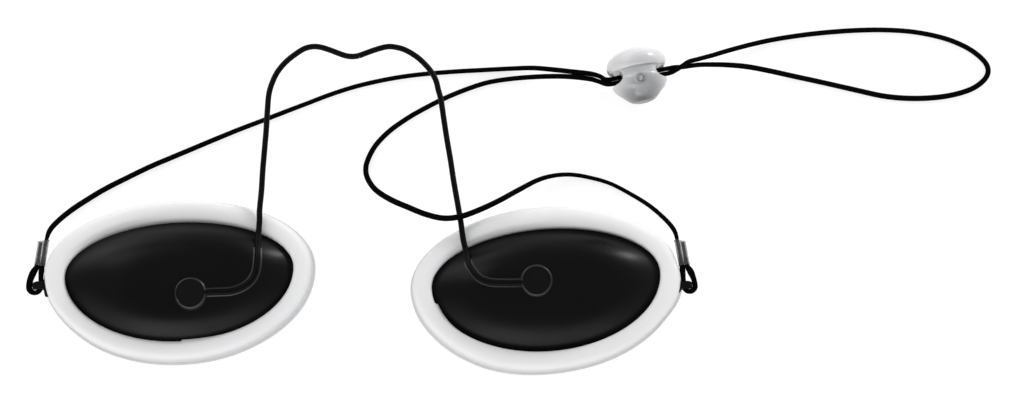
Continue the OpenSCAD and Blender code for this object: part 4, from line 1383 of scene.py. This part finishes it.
@dataclass
class Lock:
    """The spring lock: a body with the cord's passage, a cap on a slotted stem, and a spring."""

    x: float = 61.9
    y: float = 29.6
    z: float = 6.85
    turn: float = 10.7
    radius: float = 6.3
    cap_r: float = 6.8
    foot: float = 6.0
    foot_r: float = 1.7
    top: float = 6.5
    rim: float = 1.3
    shoulder: float = -0.1
    travel: float = 1.2
    stem_r: float = 3.2
    slide_gap: float = 0.15
    neck_r: float = 5.8
    passage_r: float = 1.25
    notch_r: float = 1.6
    notch_wall: float = 0.4
    dimple_r: float = 1.45
    dimple_z: float = -1.6
    dimple_depth: float = 0.65
    dimple_wave: float = 0.3
    dimple_low: float = 0.55
    floor_t: float = 1.3
    roof_t: float = 2.8
    end_gap: float = 0.2
    slot_gap: float = 0.12
    recess_h: float = 1.3
    spring_r: float = 2.0
    spring_wire: float = 0.4
    spring_gap: float = 0.03
    spring_turns: float = 2.5
    strand_half: float = 7.0
    far: float = 9.0
    axis_r: float = 0.03

    @property
    def floor(self) -> float:
        """Height of the bore's floor on the plunger's axis."""
        return -self.foot + self.floor_t

    @property
    def stem_low(self) -> float:
        """Height of the stem's lower end, with the button out."""
        return self.floor + self.travel + self.end_gap

    @property
    def place(self) -> Matrix:
        """From the lock's own frame, with its plunger along z, to the assembly's.

        Returns:
            The turn and shift.
        """
        return (Matrix.Translation((self.x, self.y, self.z))
                @ Matrix.Rotation(math.radians(self.turn), 4, "Z")
                @ Matrix.Rotation(-math.pi / 2, 4, "X"))

    def on_passage(self, across: np.ndarray, off: float) -> np.ndarray:
        """Points along the cord passage, in the assembly's frame.

        Args:
            across: Distances from the lock's middle along the passage.
            off: Distance from the passage's middle towards the cap.

        Returns:
            The points.
        """
        c, s = math.cos(math.radians(self.turn)), math.sin(math.radians(self.turn))
        return np.stack([self.x + across * c - off * s, self.y + across * s + off * c,
                         np.full(len(across), self.z)], axis=1)

    def notches(self) -> list[Object]:
        """Cutters for the two open scallops where the cord comes out at the sides.

        Each is a level slot with a half round end, drawn through the lock from front to back.

        Returns:
            The two cutters.
        """
        reach, radius = 2 * self.radius, self.notch_r
        out = self.stem_r + self.slide_gap + self.notch_wall + radius
        slot = np.concatenate([[out, 0] + arc(radius, math.pi / 2, 3 * math.pi / 2, 25),
                               [[reach, -radius], [reach, radius]]])
        return [prism("notch", slot * [sign, 1], 1, -reach, reach) for sign in (-1, 1)]

    def dimple(self) -> Object:
        """Cutter for the round dimple in the front, with a low boss left in its middle.

        Its floor falls from the rim and rises again to the boss as a cosine of the radius.

        Returns:
            The cutter.
        """
        share = np.array([0.02, 0.15, 0.3, 0.42, 0.55, 0.7, 0.85, 1.0])
        deep = self.radius - self.dimple_depth - self.dimple_wave * np.cos(
            2 * math.pi * (share - self.dimple_low))
        profile = np.concatenate([np.stack([self.dimple_r * share, deep], 1),
                                  [[self.dimple_r, self.far], [0.02, self.far]]])
        tool = revolved("dimple", profile, 48, scale=1)
        tool.data.transform(Matrix.Translation((0, 0, self.dimple_z))
                            @ Matrix.Rotation(math.pi / 2, 4, "X"))
        return tool

    def turned(self, name: str, points: list[tuple[float, float]],
               sides: int = 128) -> Object:
        """A solid turned about the plunger's axis, with no point on the axis itself.

        Args:
            name: The solid's name.
            points: Its profile from pole to pole, as radius and height.
            sides: Points round the axis.

        Returns:
            The solid, one unit to the millimetre.
        """
        profile = np.array(points, float)
        profile[:, 0] = np.maximum(profile[:, 0], self.axis_r)
        return revolved(name, profile, sides, scale=1)

    def moulded(self, name: str, solid: Object, cuts: list[Object],
                body: str, node: str) -> None:
        """Cuts a solid and lets the piece ride on a body in a node's place."""
        works = [(Work.CUT, cut) for cut in cuts]
        ride(Moulding().make(name, solid, works, self.place), MILKY, body, node)

    def body(self) -> None:
        """The body: a bowl with a flat foot, a shoulder and a neck, turned and then cut."""
        r, bore, foot, foot_r = self.radius, self.stem_r + self.slide_gap, self.foot, self.foot_r
        neck_top = self.top - self.roof_t - self.travel - self.end_gap
        bowl = catmull(np.array([
            [foot_r, -foot], [foot_r + 0.9, -foot + 0.25], [foot_r + 1.8, -foot + 0.9],
            [foot_r + 2.7, -foot + 1.8], [r - 1, -3.4], [r - 0.4, -2.6], [r - 0.1, -1.9],
            [r, -1.3], [r - 0.1, self.shoulder - 0.5], [self.neck_r, self.shoulder]]), 6)
        solid = self.turned("bowl", [
            (0, -foot), *map(tuple, bowl), (self.neck_r, neck_top), (bore, neck_top),
            (bore, self.floor), (0, self.floor)])
        passage = rod([[-self.far, 0, 0], [0, 0, 0], [self.far, 0, 0]], self.passage_r - 0.01)
        self.moulded("lock_body_cup", solid, [passage, *self.notches(), self.dimple()],
                     "cord_lock", "lock_body")

    def cap(self) -> None:
        """The cap and its stem in one piece, with the strands' slot and the spring's recess."""
        r, rim, top, low, cord = self.cap_r, self.rim, self.top, self.stem_low, CordSizes()
        cap_in, roof = self.neck_r + self.slide_gap, top - self.roof_t
        dome = catmull(np.array([
            [cap_in + 0.15, rim], [r - 0.3, rim + 0.3], [r - 0.02, rim + 1.0],
            [r - 0.1, rim + 1.9], [r - 0.5, top - 2.4],
            [r - 1.4, top - 1.5], [r - 2.9, top - 0.7], [r - 4.6, top - 0.15], [0.6, top]]), 6)
        solid = self.turned("cap", [(0, low), (self.stem_r, low), (self.stem_r, roof),
                                    (cap_in, roof), (cap_in, rim), *map(tuple, dome), (0, top)])
        arch = arc(cord.radius + self.slot_gap, 0, math.pi, 25)
        slot = np.concatenate([arch + [0, cord.strand_off + self.travel],
                               -arch - [0, cord.strand_off]])
        hollow = self.spring_r + self.spring_wire / 2 + self.slide_gap
        cuts = [prism("slot", slot, 0, -self.far, self.far), self.turned("recess", [
            (0, low - 1), (hollow, low - 1), (hollow, low + self.recess_h),
            (0, low + self.recess_h)], 64)]
        for side in (-1, 1):
            near, far = sorted((side * (r - 2.1), side * (r + 2.1)))
            cuts.append(slab((near, -self.passage_r, rim - self.travel),
                             (far, self.passage_r, rim + self.travel)))
        self.moulded("lock_cap_and_stem", solid, cuts, "plunger", "lock_plunger")

    def spring(self) -> None:
        """The coil spring: a helix of round wire between the body's floor and the stem."""
        inset = self.spring_wire / 2 + self.spring_gap
        low, high = self.floor + inset, self.stem_low + self.recess_h - inset
        line = np.column_stack([arc(self.spring_r, 0, 2 * math.pi * self.spring_turns, 121),
                                np.linspace(low, high, 121)])
        obj = surface("lock_coil_spring", swept(line, circle(self.spring_wire / 2, 14)))
        obj.data.transform(Matrix.Scale(MM, 4) @ self.place @ Matrix.Scale(1 / MM, 4))
        ride(obj, SPRING_STEEL, "cord_lock", "lock_spring")
        axis, anchor = self.place.to_3x3() @ Vector((0, 0, 1)), self.place @ Vector((0, 0, low))
        tuple(axis)
        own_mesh(obj)


# The studio


@dataclass(frozen=True)
class Lamp:
    """A softbox: its place from the middle of the object, its width and its watts."""

    name: str
    at: tuple[float, float, float]
    size: float
    watts: float


@dataclass
class Studio:
    """White table, light tent and the photograph's camera.

    The tent's band near the table is given as (turn, brightness), where a turn of 0 is the
    left, 0.25 the front, 0.5 the right and 0.75 the back.
    """

    target: tuple[float, float, float] = (33.5, 0.0, 5.0)
    distance: float = 540.0
    elevation: float = 80.0
    lens: float = 85.0
    sensor: float = 36.0
    clip: tuple[float, float] = (0.01, 50.0)
    floor_size: float = 12.0
    bounce: str = "#e6e6e6"
    paper: str = "#a8a8a8"
    glow: float = 0.74
    roof: float = 0.5
    roof_edge: tuple[float, float] = (0.38, 0.62)
    band: float = 3.2
    band_stops: tuple[tuple[float, float], ...] = (
        (0.0, 0.08), (0.12, 0.5), (0.21, 1.2), (0.3, 0.72), (0.4, 0.28), (0.5, 0.2),
        (0.62, 0.7), (0.75, 0.2), (0.87, 1.0), (0.96, 0.2), (1.0, 0.08))
    lamps: tuple[Lamp, ...] = (
        Lamp("softbox_upper_left", (-0.45, 0.35, 0.55), 0.35, 0.8),
        Lamp("softbox_upper_right", (0.41, 0.47, 0.19), 0.16, 1.5),
    )

    def turned(self, name: str, data: bpy.types.ID, middle: Vector,
               away: Vector) -> Object:
        """Places a camera or a lamp and turns it to face a point.

        Args:
            name: Its name.
            data: The camera or lamp.
            middle: The point that it faces.
            away: Its place from that point.

        Returns:
            Its object.
        """
        obj = linked(name, data)
        obj.location = middle + away
        obj.rotation_mode = "QUATERNION"
        obj.rotation_quaternion = (-away).to_track_quat("-Z", "Y")
        return obj

    def camera(self) -> None:
        """A camera that looks down at the table from in front, with a level horizon."""
        e = math.radians(self.elevation)
        data = bpy.data.cameras.new("camera")
        data.lens, data.sensor_width = self.lens, self.sensor
        data.clip_start, data.clip_end = self.clip
        bpy.context.scene.camera = self.turned(
            "camera", data, Vector(self.target) * MM,
            self.distance * MM * Vector((0, -math.cos(e), math.sin(e))))

    @staticmethod
    def emptied(data: bpy.types.Material | bpy.types.World) -> NodeTree:
        """The node tree of a new material or world, with nothing in it.

        Args:
            data: The material or world.

        Returns:
            Its node tree.
        """
        data.use_nodes = True
        data.node_tree.nodes.clear()
        return data.node_tree

    def floor(self) -> None:
        """The table: white to the camera and in reflections, where the object's shadow stays."""
        h = self.floor_size / 2
        square = np.array([[-h, -h, 0], [h, -h, 0], [h, h, 0], [-h, h, 0]])
        obj = mesh_object("table_top", square, [np.array([[0, 1, 2, 3]])], scale=1)
        material = bpy.data.materials.new("matt_white_table")
        tree = self.emptied(material)
        path = add(tree, "LightPath").outputs
        seen = path["Is Camera Ray"]
        for kind in ("Is Glossy Ray", "Is Transmission Ray"):
            seen = add(tree, "Math", {"operation": "MAXIMUM", 0: seen, 1: path[kind]}).outputs[0]
        plain, paper = (add(tree, "BsdfDiffuse", {"Color": linear(colour)}).outputs[0]
                        for colour in (self.bounce, self.paper))
        glow = add(tree, "Emission", {"Color": linear("#ffffff"), "Strength": self.glow})
        white = add(tree, "AddShader", {0: paper, 1: glow.outputs[0]})
        mixed = add(tree, "MixShader", {0: seen, 1: plain, 2: white.outputs[0]})
        add(tree, "OutputMaterial", {"Surface": mixed.outputs[0]})
        obj.data.materials.append(material)

    def tent(self) -> None:
        """Light from all round: a bright uneven band near the table under a dim roof."""
        world = bpy.data.worlds.new("light_tent")
        bpy.context.scene.world = world
        tree = self.emptied(world)
        at = add(tree, "TexCoord").outputs["Generated"]
        x, y, z = add(tree, "SeparateXYZ", {0: at}).outputs
        bearing = add(tree, "Math", {"operation": "ARCTAN2", 0: y, 1: x}).outputs[0]
        turn = add(tree, "MapRange", {"From Min": -math.pi, "From Max": math.pi,
                                      "Value": bearing}).outputs["Result"]
        band = add(tree, "ValToRGB", {0: turn, "stops": [
            (place, (value, value, value, 1)) for place, value in self.band_stops]})
        band.color_ramp.interpolation = "EASE"
        low = add(tree, "Background", {"Color": band.outputs["Color"], "Strength": self.band})
        roof = add(tree, "Background", {"Color": linear("#ffffff"), "Strength": self.roof})
        start, end = self.roof_edge
        height = add(tree, "MapRange", {"interpolation_type": "SMOOTHSTEP", "From Min": start,
                                        "From Max": end, "Value": z}).outputs["Result"]
        mixed = add(tree, "MixShader", {0: height, 1: low.outputs[0], 2: roof.outputs[0]})
        add(tree, "OutputWorld", {"Surface": mixed.outputs[0]})

    def light(self) -> None:
        """The softboxes, each turned to the middle of the object."""
        for lamp in self.lamps:
            data = bpy.data.lights.new(lamp.name, "AREA")
            data.shape, data.size, data.energy = "DISK", lamp.size, lamp.watts
            self.turned(lamp.name, data, Vector(self.target) * MM, Vector(lamp.at))

    def build(self) -> None:
        """Camera first, then what surrounds the object."""
        self.camera()
        self.floor()
        self.tent()
        self.light()
        bpy.context.scene.view_settings.view_transform = "Standard"


def cups() -> tuple[Cup, Cup]:
    """The two cups with their places and the wire's route over each, disc outwards.

    Returns:
        The left and the right cup.
    """
    left = Cup(Side.LEFT, -40.8, -14.1, 2.8, 2.0, (0.4, -0.6), (3.5, -6.3),
               [(6.7, -6.3), (9.6, -6.3), (12.4, -6.2), (14.8, -5.4), (16.5, -4.2),
                (17.6, -2.6), (18.1, -0.8), (18.3, 1.4), (18.3, 3.6)],
               [(18.5, 6.9), (18.8, 9.8), (18.9, 12.2)], flash_at=270, flash=0.45, lip_over=0.4,
               droop_at=143, web_low=2.6, bulges=[(215, 25, -0.25), (310, 30, -0.15)])
    right = Cup(Side.RIGHT, 41, -16.1, 4.6, 3.9, (0, -0.4), (-2.2, -1.2),
                [(-5.4, -1.4), (-7.6, -1.3), (-9.7, -1.1), (-11.4, -0.9), (-12.9, -0.5),
                 (-14.4, 0.3), (-15.5, 1.5), (-16.6, 3.5), (-17, 5)],
                [(-17.2, 7.3), (-17.6, 10), (-17.8, 13.6), (-18.1, 17)],
                flash_at=192, flash=0.5, lip_over=0, droop_at=128, web_low=1.5,
                bulges=[(346, 20, 0.65), (9, 14, -0.4), (95, 70, 0.5), (245, 35, 0.35)])
    return left, right


def main() -> None:
    """Builds the studio, the cords and then the rest, and reports each piece."""
    logging.basicConfig(level=logging.INFO, format="%(message)s")
    Studio().build()
    left, right = cups()
    lock = Lock()
    eyes = Eye(left, 10, 0.2, 0.25, 0.72, 0.6), Eye(right, 5, 0.5, 0.1, 0.6, 0.53)
    Cord(*eyes, lock).build()
    bridge = Bridge(left, right)
    for cup, eye in zip((left, right), eyes):
        cup.cover()
        cup.seal()
        cup.disc(bridge.disc_low(cup))
        cup.disc_lip(bridge.disc_low(cup))
        bridge.bed(cup)
        cup.lug()
        eye.clear_sleeve()
    bridge.build()
    lock.body()
    lock.cap()
    lock.spring()


if __name__ == "__main__":
    main()
